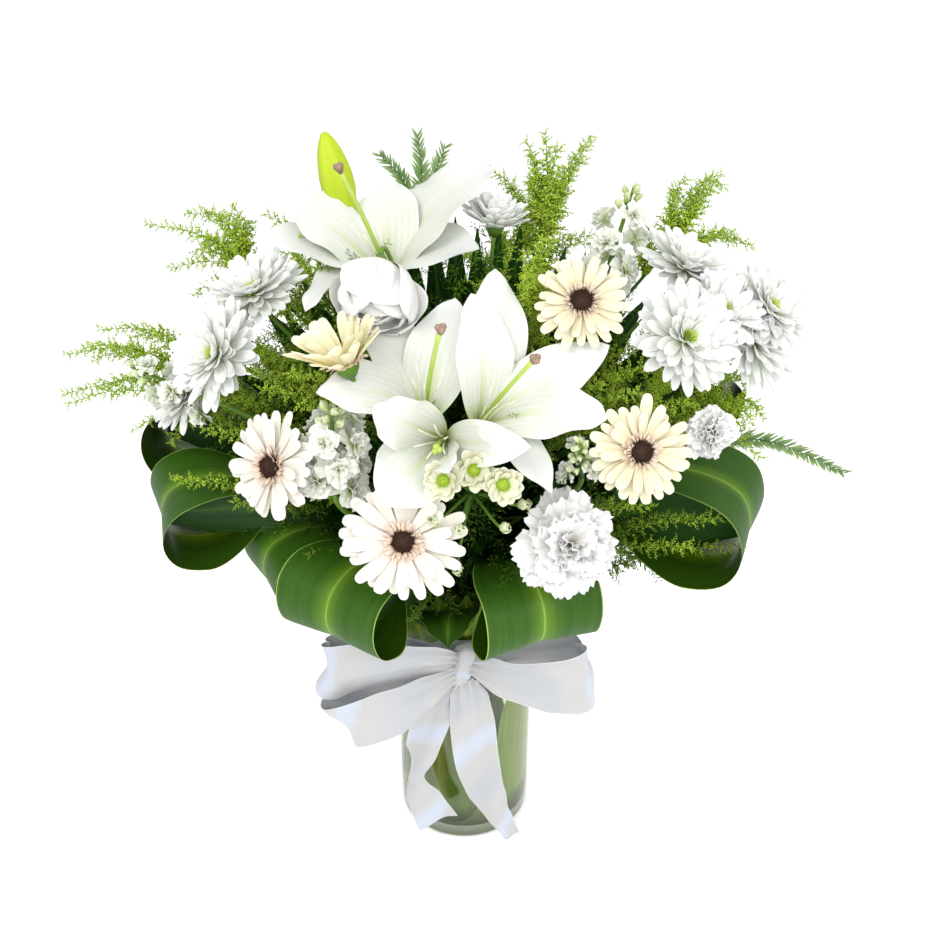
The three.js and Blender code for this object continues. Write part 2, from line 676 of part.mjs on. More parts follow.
// ---- carnations ----
// One layer of frilled petals: a cone of the given tilt from its middle, with a crimped and notched edge.
function frill({ count, reach, tilt, middle, heel, turn }) {
  const half = PETAL_THICKNESS / 2 + 0.1;
  const points = [vec(0, 0, middle), vec(0, 0, heel)];
  const on = (r, angle, lift) =>
    vec(
      r * Math.cos(tilt) * Math.cos(angle),
      r * Math.cos(tilt) * Math.sin(angle),
      middle + r * Math.sin(tilt) + lift,
    );
  const step = TAU / count;
  for (let k = 0; k < count; k++) {
    const angle = turn + step * k;
    const inner = reach * 0.62;
    const crimp = reach * 0.06;
    const lift = crimp * jitter();
    points.push(on(inner, angle, lift + half), on(inner, angle, lift - half));
    points.push(on(reach * (0.94 + 0.05 * jitter()), angle, crimp * 2));
    points.push(on(reach * (1 + 0.05 * jitter()), angle + step / 2, -crimp));
  }
  const triangles = [];
  for (let k = 0; k < count; k++) {
    const a = 2 + 4 * k;
    const b = 2 + 4 * ((k + 1) % count);
    [0, 1].forEach((face) => {
      const faces = [
        [face, a + face, b + face],
        [a + face, a + 2, a + 3],
        [a + face, a + 3, b + face],
        [b + face, a + 3, b + 2],
      ];
      triangles.push(...(face ? faces.map(([p, q, r]) => [p, r, q]) : faces));
    });
  }
  return closedBody(points, triangles);
}

const CARNATION_LAYERS = [
  { tilt: -14, count: 10, size: 1 },
  { tilt: 12, count: 8, size: 1 },
  { tilt: 38, count: 6, size: 1 },
  { tilt: 66, count: 4, size: 0.95 },
];
function carnation(name, { at, axis, radius }) {
  const foot = radius * 0.35 + 16;
  const bodies = CARNATION_LAYERS.map(({ tilt, count, size }, k) => {
    const middle = radius * (0.12 * k - 0.2);
    const heel = k ? middle - radius * 0.2 : -foot;
    return frill({ count, reach: radius * size, tilt: deg(tilt), middle, heel, turn: 0.7 * k });
  });
  place(node(name, fused(bodies), COLOUR.carnation), at, axis);
  carry(at, axis, foot, 1.6, 40);
}
const CARNATIONS = {
  carnation_front: { at: [74, -178, 420], axis: [0.15, -0.85, 0.5], radius: 32 },
  carnation_centre: { at: [-46, -96, 572], axis: [-0.1, -0.75, 0.65], radius: 24 },
  carnation_right: { at: [176, -122, 478], axis: [0.5, -0.75, 0.4], radius: 18 },
  carnation_back: { at: [104, 132, 468], axis: [0.3, 0.8, 0.5], radius: 30 },
};

// ---- stock ----
// Double florets stand round a spike, with buds closing its top.
function stock(name, { foot, tip, florets, buds, size = 14 }) {
  const from = vec(...foot);
  const to = vec(...tip);
  const way = vec().subVectors(to, from).normalize();
  const turn = new THREE.Quaternion().setFromUnitVectors(UP, way);
  const bodies = [tube([from, to], [2.6, 1.4], 4)];
  const outAt = (k, rise) => {
    const angle = k * 2.4;
    return vec(Math.cos(angle), Math.sin(angle), rise).normalize().applyQuaternion(turn);
  };
  for (let k = 0; k < florets; k++) {
    const out = outAt(k, 0.3);
    const middle = lerpPoint(from, to, 0.12 + (0.66 * k) / florets).addScaledVector(out, size * 0.9);
    const face = new THREE.Quaternion().setFromUnitVectors(UP, out);
    const layer = { count: 5, notch: size * 0.5, wide: size * 0.76, reach: size, width: size * 0.8 };
    const head = star({ ...layer, crown: 6, heel: -size * 0.9, rise: 0, tip: 2 });
    bodies.push(head.applyQuaternion(face).translate(...middle));
  }
  for (let k = 0; k < buds; k++) {
    const t = 0.78 + (0.24 * k) / buds;
    const middle = lerpPoint(from, to, t).addScaledVector(outAt(k, 0.5), 5.4 - 10 * (t - 0.78));
    bodies.push(new THREE.OctahedronGeometry(4.6).translate(...middle));
  }
  node(name, fused(bodies), COLOUR.stock);
  carry(foot, way.toArray(), CLEAR, 2, 50);
}
const STOCKS = {
  stock_left: { foot: [-92, -138, 440], tip: [-88, -150, 514], florets: 5, buds: 4, size: 16 },
  stock_top: { foot: [106, -16, 546], tip: [128, 6, 618], florets: 5, buds: 4, size: 16 },
  stock_far_left: { foot: [-196, -52, 470], tip: [-258, -36, 490], florets: 4, buds: 4 },
  stock_right: { foot: [84, -144, 454], tip: [79, -168, 494], florets: 2, buds: 4, size: 11 },
};

// ---- goldenrod and needled greens ----
// A plume is a slim stalk of close tufts; it leaves its spray and arches to its tip.
const TUFTS = [0.16, 0.9, 1, 0.7, 0.16];
function plume(from, to, arch, radius) {
  const middle = lerpPoint(from, to, 0.5).add(vec(0, 0, arch));
  const path = new THREE.QuadraticBezierCurve3(from, middle, to).getPoints(TUFTS.length - 1);
  return tube(path, TUFTS.map((size) => radius * size), 4, 0.55);
}

// A thin three-sided point that grows out of what its root is sunk in.
function spike(root, tip, radius) {
  const way = vec().subVectors(tip, root).normalize();
  const across = (Math.abs(way.z) < 0.9 ? vec(0, 0, 1) : vec(1, 0, 0)).cross(way).normalize();
  const other = vec().crossVectors(way, across);
  const foot = [0, 1, 2].map((j) =>
    root.clone()
      .addScaledVector(across, radius * Math.cos((TAU * j) / 3))
      .addScaledVector(other, radius * Math.sin((TAU * j) / 3)),
  );
  return closedBody([...foot, tip], [[0, 2, 1], [0, 1, 3], [1, 2, 3], [2, 0, 3]]);
}

function goldenrod(name, { foot, fork, tips }) {
  const from = vec(...foot);
  const split = vec(...fork);
  const bodies = [tube([from, split], [1.8, 1.6], 5)];
  tips.forEach((tip, k) => {
    const start = lerpPoint(from, split, 1 - 0.17 * k);
    bodies.push(plume(start, vec(...tip), 10 + 4 * (k % 2), 6.6));
  });
  node(name, fused(bodies), COLOUR.goldenrod);
  carry(foot, vec().subVectors(split, from).toArray(), CLEAR, 1.6, 50);
}
const GOLDENRODS = {
  goldenrod_left_high: {
    foot: [-100, 20, 470], fork: [-172, 26, 552],
    tips: [[-178, 26, 600], [-218, 34, 590], [-248, 26, 584], [-232, 14, 552], [-140, 60, 540]],
  },
  goldenrod_left_low: {
    foot: [-96, -38, 434], fork: [-200, -4, 462],
    tips: [
      [-322, 0, 484], [-294, 10, 502], [-322, -20, 458], [-262, -44, 438], [-176, -40, 512], [-150, -14, 510],
    ],
  },
  goldenrod_centre: {
    foot: [30, -40, 480], fork: [51, -60, 540],
    tips: [[56, -74, 606], [48, -98, 580], [66, -60, 584], [62, -96, 548]],
  },
  goldenrod_top: {
    foot: [50, 30, 520], fork: [66, 34, 580],
    tips: [[62, 34, 652], [46, 30, 648], [98, 40, 648], [20, 50, 620]],
  },
  goldenrod_right_high: {
    foot: [120, 40, 500], fork: [170, 40, 566],
    tips: [[198, 24, 624], [172, 30, 618], [230, 24, 566], [160, 70, 560]],
  },
  goldenrod_right_low: {
    foot: [84, -40, 430], fork: [186, -60, 458],
    tips: [[228, -80, 468], [214, -56, 490], [222, -104, 446], [150, -104, 510], [110, -96, 510]],
  },
  goldenrod_back_left: {
    foot: [-60, 80, 430], fork: [-120, 130, 470],
    tips: [[-170, 150, 520], [-120, 170, 500], [-200, 110, 480], [-60, 160, 480]],
  },
  goldenrod_back_right: {
    foot: [20, 90, 450], fork: [40, 150, 500],
    tips: [[20, 188, 550], [70, 180, 550], [0, 200, 500], [130, 110, 550]],
  },
};

const NEEDLES = 7;
function needleSprig(name, { foot, tips }) {
  const from = vec(...foot);
  const bodies = [];
  tips.forEach((tip) => {
    const to = vec(...tip);
    const middle = lerpPoint(from, to, 0.55).add(vec(0, 0, 16));
    const path = new THREE.QuadraticBezierCurve3(from, middle, to);
    bodies.push(tube(path.getPoints(4), [1.6, 1.5, 1.4, 1.2, 0.8], 3));
    const level = vec(0, 0, 1).cross(vec().subVectors(to, from)).normalize();
    for (let k = 0; k < NEEDLES; k++) {
      const t = 0.34 + (0.62 * k) / NEEDLES;
      const root = path.getPoint(t);
      const out = level.clone().applyAxisAngle(path.getTangent(t), k * 2.1);
      const end = root.clone().addScaledVector(path.getTangent(t), 7).addScaledVector(out, 9);
      bodies.push(spike(root, end, 1));
    }
  });
  node(name, fused(bodies), COLOUR.fern);
  const way = vec(0, 0, 1).lerp(vec(...tips[0]).sub(from).normalize(), 0.6);
  carry(foot, way.toArray(), 1.5, 1.5, 50);
}
const SPRIGS = {
  fern_top: { foot: [-30, 40, 560], tips: [[-48, 30, 642], [-26, 34, 652]] },
  fern_right: { foot: [170, -8, 410], tips: [[322, -4, 376]] },
};

// ---- all stems, as one bundle tied together at the neck ----
function stems() {
  const bodies = RUNS.map(({ foot, neck }) => tube([foot, neck], STEM.radius, STEM.sides));
  const { radius: ring, height, half } = BINDING;
  const low = height - half;
  const high = height + half;
  bodies.push(turned([[0, low], [ring, low + 2], [ring, high - 2], [0, high]], BINDING.sides));
  carried.forEach(({ end, way, radius, reach }, k) => {
    const out = BINDING.inner + (BINDING.outer - BINDING.inner) * ((k * GOLDEN) % 1);
    const start = vec(end.x, end.y, 0).setLength(out).setZ(BINDING.height);
    const rise = start.clone().add(vec(start.x * 0.6, start.y * 0.6, (end.z - start.z) * 0.5));
    const path = new THREE.CubicBezierCurve3(start, rise, end.clone().addScaledVector(way, -reach), end);
    bodies.push(tube(path.getPoints(3), radius, 3));
  });
  node("stems", fused(bodies), COLOUR.stem);
}

// ---- the whole ----
vase();
waterAndLining();
ribbonBand();
ribbonBow();
FOLDED_LEAVES.forEach(foldedLeaf);
shortLeaf();
lilies();
Object.entries(GERBERAS).forEach(([name, spec]) => gerbera(name, spec));
Object.entries(CHRYSANTHEMUMS).forEach(([name, spec]) => chrysanthemum(name, spec));
daisySpray("daisies", DAISIES);
Object.entries(CARNATIONS).forEach(([name, spec]) => carnation(name, spec));
Object.entries(STOCKS).forEach(([name, spec]) => stock(name, spec));
Object.entries(GOLDENRODS).forEach(([name, spec]) => goldenrod(name, spec));
Object.entries(SPRIGS).forEach(([name, spec]) => needleSprig(name, spec));
stems();

export default part;
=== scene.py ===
# Lilies in a vase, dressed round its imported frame. Sizes are in millimetres until a mesh is made.
import json
import math
import random
from types import SimpleNamespace

import bpy
from mathutils import Matrix, Quaternion, Vector

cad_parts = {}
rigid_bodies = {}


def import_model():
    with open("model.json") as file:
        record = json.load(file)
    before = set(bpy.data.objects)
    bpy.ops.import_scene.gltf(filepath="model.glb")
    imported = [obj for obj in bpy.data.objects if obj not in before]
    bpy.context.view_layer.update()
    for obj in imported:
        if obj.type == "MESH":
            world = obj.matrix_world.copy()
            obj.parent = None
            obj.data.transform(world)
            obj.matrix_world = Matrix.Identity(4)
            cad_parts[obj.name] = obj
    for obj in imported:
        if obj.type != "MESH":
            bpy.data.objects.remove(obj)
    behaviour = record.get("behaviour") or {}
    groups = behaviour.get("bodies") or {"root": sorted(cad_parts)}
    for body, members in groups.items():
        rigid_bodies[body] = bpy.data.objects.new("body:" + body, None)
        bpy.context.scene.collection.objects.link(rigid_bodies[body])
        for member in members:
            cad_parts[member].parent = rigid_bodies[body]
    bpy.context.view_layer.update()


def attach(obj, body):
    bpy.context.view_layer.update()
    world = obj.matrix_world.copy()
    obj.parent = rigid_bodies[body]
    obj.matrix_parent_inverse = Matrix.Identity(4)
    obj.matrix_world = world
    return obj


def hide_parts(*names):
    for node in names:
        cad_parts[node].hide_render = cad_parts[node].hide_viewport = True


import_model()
mm = 0.001
tau = 2 * math.pi
goldenAngle = 2.39996
up = Vector((0, 0, 1))
scene = bpy.context.scene

studio = {
    "cameraPlace": (5, -833, 858),
    "cameraDown": 30,  # degrees below the horizon
    "lens": 43.44,
    "floorHalf": 15000,
    "floorColours": ((0.95, 0.95, 0.95), (0.92, 0.93, 0.94)),
    "floorGlow": 0.35,
    "sky": 0.72,
    "lamps": [  # place, size, watts, colour
        ((-900, -1300, 1900), 900, 20, (1.0, 0.985, 0.96)),
        ((300, -1700, 1400), 1400, 16, (1.0, 1.0, 1.0)),
        ((1300, -900, 1300), 1200, 8, (0.97, 0.98, 1.0)),
        ((200, 1300, 1800), 1400, 6, (1.0, 1.0, 1.0)),
    ],
    "aim": (0, 0, 380),
}


def unit(direction):
    return Vector(direction).normalized()


def mix(a, b, t):
    return a + (b - a) * t


def smoothstep(x, low, high):
    t = min(max((x - low) / (high - low), 0), 1)
    return t * t * (3 - 2 * t)


# Places over a width, from -1 at one edge to 1 at the other.
def spread(columns):
    return [2 * j / (columns - 1) - 1 for j in range(columns)]


# A node's output that can be reckoned with: each sum, product or power of it adds one Math node.
class Flow:
    def __init__(self, socket):
        self.socket = socket

    def math(self, operation, first, second=0.0):
        return get(self.socket.id_data, "ShaderNodeMath", {0: first, 1: second}, operation=operation)

    def __add__(self, other):
        return self.math("ADD", self, other)

    def __radd__(self, other):
        return self.math("ADD", other, self)

    def __sub__(self, other):
        return self.math("SUBTRACT", self, other)

    def __rsub__(self, other):
        return self.math("SUBTRACT", other, self)

    def __mul__(self, other):
        return self.math("MULTIPLY", self, other)

    def __truediv__(self, other):
        return self.math("DIVIDE", self, other)

    def __rtruediv__(self, other):
        return self.math("DIVIDE", other, self)

    def __pow__(self, other):
        return self.math("POWER", self, other)


def take(operation, flow):
    return flow.math(operation, flow)


# Holds the last sum or product between 0 and 1.
def clip(flow):
    flow.socket.node.use_clamp = True
    return flow


# wired holds what goes into each socket of a new node, settings the node's own values.
def add(tree, kind, wired=None, **settings):
    made = tree.nodes.new(kind)
    for name, value in settings.items():
        setattr(made, name, value)
    for label, value in (wired or {}).items():
        socket = made.inputs[label]
        if isinstance(value, Flow):
            tree.links.new(value.socket, socket)
        else:
            socket.default_value = (*value, 1) if socket.type == "RGBA" else value
    return made


def get(tree, kind, wired=None, out=0, **settings):
    return Flow(add(tree, kind, wired, **settings).outputs[out])


def blend(factor, first, second):
    wired = {0: factor, 6: first, 7: second}
    return get(factor.socket.id_data, "ShaderNodeMix", wired, out=2, data_type="RGBA")


def ramp(factor, stops):
    made = add(factor.socket.id_data, "ShaderNodeValToRGB", {0: factor})
    elements = made.color_ramp.elements
    while len(elements) < len(stops):
        elements.new(0.5)
    for element, (at, colour) in zip(elements, stops):
        element.position = at
        element.color = (*colour, 1)
    return Flow(made.outputs[0])


def objectPlace(tree):
    return get(tree, "ShaderNodeTexCoord", out="Object")


def noise(tree, scale, stretch=(1, 1, 1)):
    mapped = get(tree, "ShaderNodeMapping", {"Vector": objectPlace(tree), "Scale": stretch})
    return get(tree, "ShaderNodeTexNoise", {"Vector": mapped, "Scale": scale, "Detail": 3.0})


def startSkin(name):
    made = bpy.data.materials.new(name)
    made.use_nodes = True
    return made, made.node_tree


# u runs over a blade's width and v from its root to its tip.
def surfaceMap(tree):
    place = get(tree, "ShaderNodeUVMap", uv_map="map")
    parts = add(tree, "ShaderNodeSeparateXYZ", {0: place}).outputs
    return Flow(parts[0]), Flow(parts[1])


def finishSkin(made, base, gloss, height=None, bump=0.3, glow=0):
    tree = made.node_tree
    skin, output = tree.nodes["Principled BSDF"], tree.nodes["Material Output"]
    tree.links.new(base.socket, skin.inputs["Base Color"])
    for label, value in gloss.items():
        skin.inputs[label].default_value = value
    if height:
        bumps = get(tree, "ShaderNodeBump", {"Height": height, "Strength": bump, "Distance": 0.0004})
        tree.links.new(bumps.socket, skin.inputs["Normal"])
    if glow:  # the share of light that comes through
        through = get(tree, "ShaderNodeBsdfTranslucent", {"Color": base})
        mixed = get(tree, "ShaderNodeMixShader", {0: glow, 1: Flow(skin.outputs[0]), 2: through})
        tree.links.new(mixed.socket, output.inputs["Surface"])
    return made


# Petals: the colour runs from root to tip, with veins along them and a little light through them.
def petalSkin(name, root, middle, tip, veins=4, reach=0.3, glow=0.25, roughness=0.55, heart=None):
    made, tree = startSkin(name)
    u, v = surfaceMap(tree)
    base = ramp(v, [(0.0, root), (reach, middle), (1.0, tip)])
    vein = take("ABSOLUTE", take("SINE", u * (veins * tau))) ** 6.0 * clip(1.05 - v)
    base = blend(vein * 0.2, base, root)
    if heart:
        near = clip(1.0 - take("ABSOLUTE", u - 0.5) * heart["narrow"])
        base = blend(near * clip(1.0 - v * heart["short"]), base, heart["colour"])
    cloud = noise(tree, 60.0)
    base = blend(cloud * 0.15, base, middle)
    gloss = {"Roughness": roughness, "Specular IOR Level": 0.35}
    return finishSkin(made, base, gloss, vein + cloud * 0.4, 0.5, glow)


leafLook = {"veins": 26, "veinShare": 0.045, "streaks": (22.0, 2.2), "bandNarrow": 5.0,
            "midribNarrow": 75.0, "rimStart": 0.488, "bump": 0.16, "glow": 0.12}


# Broad leaves: fine parallel veins, a pale band along the midrib and a waxy gloss.
def leafSkin(name, body, deep, band, edge, roughness=0.3, bandShare=0.75):
    made, tree = startSkin(name)
    u, v = surfaceMap(tree)
    off = take("ABSOLUTE", u - 0.5)
    lines = take("SINE", u * (leafLook["veins"] * tau))
    across, along = leafLook["streaks"]
    streak = get(tree, "ShaderNodeCombineXYZ", {0: u * across, 1: v * along})
    streaks = get(tree, "ShaderNodeTexNoise", {"Vector": streak, "Scale": 1.0, "Detail": 3.0})
    base = blend(ramp(streaks, [(0.25, (0, 0, 0)), (0.8, (1, 1, 1))]), deep, body)
    base = blend(take("ABSOLUTE", lines) ** 8.0 * leafLook["veinShare"], base, band)
    base = blend(clip(1.0 - off * leafLook["bandNarrow"]) ** 2.4 * bandShare, base, band)
    midrib = clip(1.0 - off * leafLook["midribNarrow"])
    base = blend(midrib * 0.45, base, edge)
    base = blend(clip((off - leafLook["rimStart"]) * 110.0), base, edge)
    gloss = {"Roughness": roughness, "Specular IOR Level": 0.22, "Coat Weight": 0.05,
             "Coat Roughness": 0.15}
    return finishSkin(made, base, gloss, lines * 0.5 - midrib, leafLook["bump"], leafLook["glow"])


# Green parts: mottled, and lighter towards their ends. The last argument paints shade on them: they darken
# near the middle of the bouquet, where shade falls among the blooms.
def greenSkin(name, low, high, roughness=0.5, scale=140.0, glow=0.1, stripes=0, shadeInside=None):
    made, tree = startSkin(name)
    u, v = surfaceMap(tree)
    cloud = noise(tree, scale)
    base = ramp(v * 0.7 + cloud * 0.55, [(0.25, low), (0.95, high)])
    if shadeInside:
        near, far, shadeColour = shadeInside
        wired = {0: objectPlace(tree), 1: (0, 0, 0.36)}
        away = get(tree, "ShaderNodeVectorMath", wired, out="Value", operation="DISTANCE")
        # painted shade: blend towards the shade colour near the middle of the bouquet.
        base = blend(get(tree, "ShaderNodeMapRange", {0: away, 1: near, 2: far}), shadeColour, base)
    height = cloud + take("SINE", u * (stripes * tau)) if stripes else cloud
    return finishSkin(made, base, {"Roughness": roughness, "Specular IOR Level": 0.25}, height, 0.3, glow)


# Glass and water, darker towards the foot of the vase.
def clearSkin(name, tint, foot, ior):
    made, tree = startSkin(name)
    base = blend(noise(tree, 18.0) * 0.25, tint, (1, 1, 1))
    height = get(tree, "ShaderNodeSeparateXYZ", {0: objectPlace(tree)}, out=2)
    base = blend(get(tree, "ShaderNodeMapRange", {0: height, 1: 0.008, 2: 0.045}), foot, base)
    gloss = {"Transmission Weight": 1.0, "Specular IOR Level": 0.35, "IOR": ior, "Roughness": 0}
    return finishSkin(made, base, gloss)


# Painted highlight and painted shade: soft light and dark bands run aslant over each strip, standing in for
# satin folds catching the light.
def satinSkin(name, paintedShade, base, paintedSheen):
    made, tree = startSkin(name)
    u, v = surfaceMap(tree)
    weave = take("SINE", v * 900.0)
    band = take("SINE", u * 1.6 + v * 13.0 + noise(tree, 26.0, (1, 1, 0.3)) * 3.0)
    # The ramp paints shade into the dark bands and a bluish highlight into the bright ones.
    shade = ramp(0.5 + band * 0.5, [(0.0, paintedShade), (0.35, base), (0.82, base), (1.0, paintedSheen)])
    selvedge = clip((take("ABSOLUTE", u - 0.5) - 0.48) * 60.0)
    shade = blend(selvedge * 0.4, shade, (1, 1, 1))
    gloss = {"Roughness": 0.3, "Anisotropic": 0.5, "Sheen Weight": 0.3, "Sheen Roughness": 0.4}
    return finishSkin(made, shade, gloss, weave * 0.5, 0.08, 0.25)


skins = {
    "glass": clearSkin("clearGlass", (0.8, 0.87, 0.68), (0.05, 0.08, 0.02), 1.46),
    "water": clearSkin("water", (0.9, 0.95, 0.64), (0.55, 0.64, 0.28), 1.33),
    # satin colours: painted shade, the plain colour, then a painted bluish highlight.
    "satin": satinSkin("whiteSatin", (0.53, 0.545, 0.58), (0.58, 0.58, 0.575), (0.61, 0.655, 0.75)),
    "leafTop": leafSkin("foldedLeafTop", (0.03, 0.085, 0.003), (0.018, 0.056, 0.003), (0.2, 0.32, 0.01),
                        (0.42, 0.55, 0.08)),
    "leafUnder": leafSkin("foldedLeafUnder", (0.045, 0.13, 0.006), (0.022, 0.08, 0.004), (0.16, 0.3, 0.02),
                          (0.4, 0.56, 0.12), 0.55),
    "lining": leafSkin("liningLeaf", (0.4, 0.56, 0.05), (0.2, 0.34, 0.02), (0.98, 0.94, 0.2),
                       (1.0, 0.97, 0.5), 0.35, 1.0),
    "liningPale": leafSkin("liningLeafPale", (0.72, 0.86, 0.26), (0.46, 0.66, 0.14), (0.86, 0.9, 0.45),
                           (0.92, 0.94, 0.6), 0.35),
    "lily": petalSkin("lilyPetal", (0.55, 0.66, 0.08), (0.84, 0.86, 0.8), (0.86, 0.87, 0.87), 5, 0.2,
                      roughness=0.5, heart={"narrow": 13.0, "short": 1.7, "colour": (0.6, 0.72, 0.14)}),
    "pistil": greenSkin("lilyPistil", (0.32, 0.48, 0.07), (0.5, 0.64, 0.14), 0.35),
    "stigma": greenSkin("lilyStigma", (0.22, 0.13, 0.1), (0.36, 0.25, 0.18)),
    "bud": petalSkin("lilyBud", (0.22, 0.38, 0.01), (0.42, 0.56, 0.015), (0.5, 0.6, 0.02), 3, glow=0.1),
    "gerbera": petalSkin("gerberaPetal", (0.86, 0.74, 0.62), (0.88, 0.84, 0.76), (0.89, 0.88, 0.83), 3,
                         0.22),
    "gerberaCream": petalSkin("gerberaCreamPetal", (0.8, 0.7, 0.42), (0.86, 0.8, 0.58), (0.87, 0.85, 0.7),
                              3),
    "gerberaYellow": petalSkin("gerberaYellowPetal", (0.97, 0.84, 0.42), (0.98, 0.94, 0.7),
                               (0.98, 0.96, 0.84), 3, glow=0.35),
    "gerberaRing": petalSkin("gerberaInnerFloret", (0.5, 0.3, 0.18), (0.85, 0.68, 0.54), (0.93, 0.86, 0.77),
                             1),
    "disc": greenSkin("gerberaDisc", (0.006, 0.003, 0.002), (0.055, 0.025, 0.014), 0.75, 700.0, 0),
    "mum": petalSkin("chrysanthemumPetal", (0.74, 0.82, 0.42), (0.92, 0.93, 0.9), (0.93, 0.94, 0.95), 2,
                     0.24, 0.32),
    "mumHeart": petalSkin("chrysanthemumHeart", (0.35, 0.5, 0.03), (0.6, 0.74, 0.1), (0.82, 0.88, 0.4), 1),
    "daisy": petalSkin("daisyPetal", (0.72, 0.76, 0.34), (0.9, 0.9, 0.72), (0.93, 0.92, 0.8), 2),
    "daisyHeart": petalSkin("daisyHeart", (0.22, 0.42, 0.01), (0.36, 0.6, 0.02), (0.62, 0.78, 0.1), 1),
    "carnation": petalSkin("carnationPetal", (0.82, 0.8, 0.66), (0.93, 0.92, 0.91), (0.94, 0.94, 0.94), 5,
                           glow=0.22),
    "stock": petalSkin("stockPetal", (0.6, 0.72, 0.26), (0.92, 0.94, 0.85), (0.94, 0.95, 0.93), 3, 0.34,
                       0.32),
    "stockBud": petalSkin("stockBud", (0.42, 0.58, 0.16), (0.72, 0.8, 0.44), (0.9, 0.92, 0.74), 2),
    # goldenrod and dark foliage get painted shade near the middle of the bouquet.
    "goldenrod": greenSkin("goldenrodTuft", (0.2, 0.4, 0.015), (0.7, 0.88, 0.1), 0.6, 90.0, 0.25,
                           shadeInside=(0.1, 0.22, (0.04, 0.12, 0.005))),
    "undergrowth": greenSkin("darkFoliage", (0.03, 0.1, 0.006), (0.2, 0.38, 0.02), 0.55, 40.0, 0.2,
                             shadeInside=(0.08, 0.22, (0.008, 0.035, 0.003))),
    "innerLeaf": leafSkin("innerLeaf", (0.02, 0.085, 0.008), (0.008, 0.04, 0.004), (0.05, 0.16, 0.015),
                          (0.1, 0.24, 0.03), 0.45),
    "collar": leafSkin("collarLeaf", (0.15, 0.25, 0.015), (0.07, 0.15, 0.01), (0.36, 0.44, 0.04),
                       (0.4, 0.5, 0.1), 0.4),
    "needle": greenSkin("sprigNeedle", (0.1, 0.2, 0.05), (0.4, 0.54, 0.24), 0.5, 60.0, 0.2),
    "stem": greenSkin("stem", (0.05, 0.13, 0.01), (0.13, 0.25, 0.03), 0.4, 30.0, 0.05, stripes=4),
}
print("materials:", len(skins))


# The camera stands where the photograph was taken from, and big soft lamps light a pale floor.
def setStage():
    camera = bpy.data.objects.new("camera", bpy.data.cameras.new("camera"))
    camera.data.lens = studio["lens"]
    camera.data.sensor_width = 36
    camera.data.clip_end = 100
    camera.location = Vector(studio["cameraPlace"]) * mm
    camera.rotation_euler = (math.radians(90 - studio["cameraDown"]), 0, 0)
    scene.collection.objects.link(camera)
    scene.camera = camera
    for k, (place, size, watts, tint) in enumerate(studio["lamps"]):
        lamp = bpy.data.lights.new(f"softbox{k}", "AREA")
        lamp.size = size * mm
        lamp.energy = watts
        lamp.color = tint
        holder = bpy.data.objects.new(lamp.name, lamp)
        holder.location = Vector(place) * mm
        holder.rotation_euler = (Vector(studio["aim"]) - Vector(place)).to_track_quat("-Z", "Y").to_euler()
        scene.collection.objects.link(holder)
    world = bpy.data.worlds.new("studio")
    world.use_nodes = True
    sky = world.node_tree.nodes["Background"]
    sky.inputs["Color"].default_value = (1, 1, 1, 1)
    sky.inputs["Strength"].default_value = studio["sky"]
    scene.world = world
    half = studio["floorHalf"] * mm
    mesh = bpy.data.meshes.new("floor")
    mesh.from_pydata([(-half, -half, 0), (half, -half, 0), (half, half, 0), (-half, half, 0)], [],
                     [(0, 1, 2, 3)])
    floor = bpy.data.objects.new("floor", mesh)
    made, tree = startSkin("paleFloor")
    base = blend(noise(tree, 3.0) * 0.04, *studio["floorColours"])
    mesh.materials.append(finishSkin(made, base, {
        "Roughness": 0.8, "Emission Color": (1, 1, 1, 1), "Emission Strength": studio["floorGlow"]}))
    scene.collection.objects.link(floor)
    scene.view_settings.view_transform = "Standard"


# A line is a list of points, and smoothLine runs a centripetal curve through a few of them.
def smoothLine(points, steps):
    points = [Vector(p) for p in points]
    padded = [2 * points[0] - points[1]] + points + [2 * points[-1] - points[-2]]
    line = []
    for i in range(steps + 1):
        place = (len(points) - 1) * i / steps
        k = min(int(place), len(points) - 2)
        four = padded[k:k + 4]
        knots = [0]
        for a, b in zip(four, four[1:]):
            knots.append(knots[-1] + max((b - a).length, 1e-6) ** 0.5)
        t = knots[1] + (place - k) * (knots[2] - knots[1])

        def between(a, b, i, j):
            span = knots[j] - knots[i]
            return a * ((knots[j] - t) / span) + b * ((t - knots[i]) / span)

        a1, a2, a3 = (between(four[n], four[n + 1], n, n + 1) for n in range(3))
        line.append(between(between(a1, a2, 0, 2), between(a2, a3, 1, 3), 1, 2))
    return line


def bezier(a, b, c, d, steps):
    return [a * (1 - t) ** 3 + b * 3 * t * (1 - t) ** 2 + c * 3 * t * t * (1 - t) + d * t ** 3
            for t in (i / steps for i in range(steps + 1))]


def heading(line, i):
    return (line[min(i + 1, len(line) - 1)] - line[max(i - 1, 0)]).normalized()


def valueAlong(values, t):
    place = t * (len(values) - 1)
    k = min(int(place), len(values) - 2)
    return mix(values[k], values[k + 1], smoothstep(place - k, 0, 1))


# Rows of points over a line: side is the way they lie, half how wide they are, rise how far off it.
def sweep(line, columns, side, half, rise):
    rows, steps = [], len(line) - 1
    for i, p in enumerate(line):
        t, way = i / steps, heading(line, i)
        across = side(i, t, way)
        across = (across - way * way.dot(across)).normalized()
        face, reach = way.cross(across), half(t)
        rows.append([p + across * reach * c + face * rise(t, c, reach) for c in spread(columns)])
    return rows


def grid(steps, columns, place):
    return [[place(i / steps, c) for c in spread(columns)] for i in range(steps + 1)]


def newMesh(name, points, faces, uvs, skin):
    mesh = bpy.data.meshes.new(name)
    mesh.from_pydata([p * mm for p in points], [], faces, shade_flat=False)
    mesh.validate()
    layer = mesh.uv_layers.new(name="map")
    for loop in mesh.loops:
        layer.data[loop.index].uv = uvs[loop.vertex_index]
    for each in skin if isinstance(skin, list) else [skin]:
        mesh.materials.append(each)
    return mesh


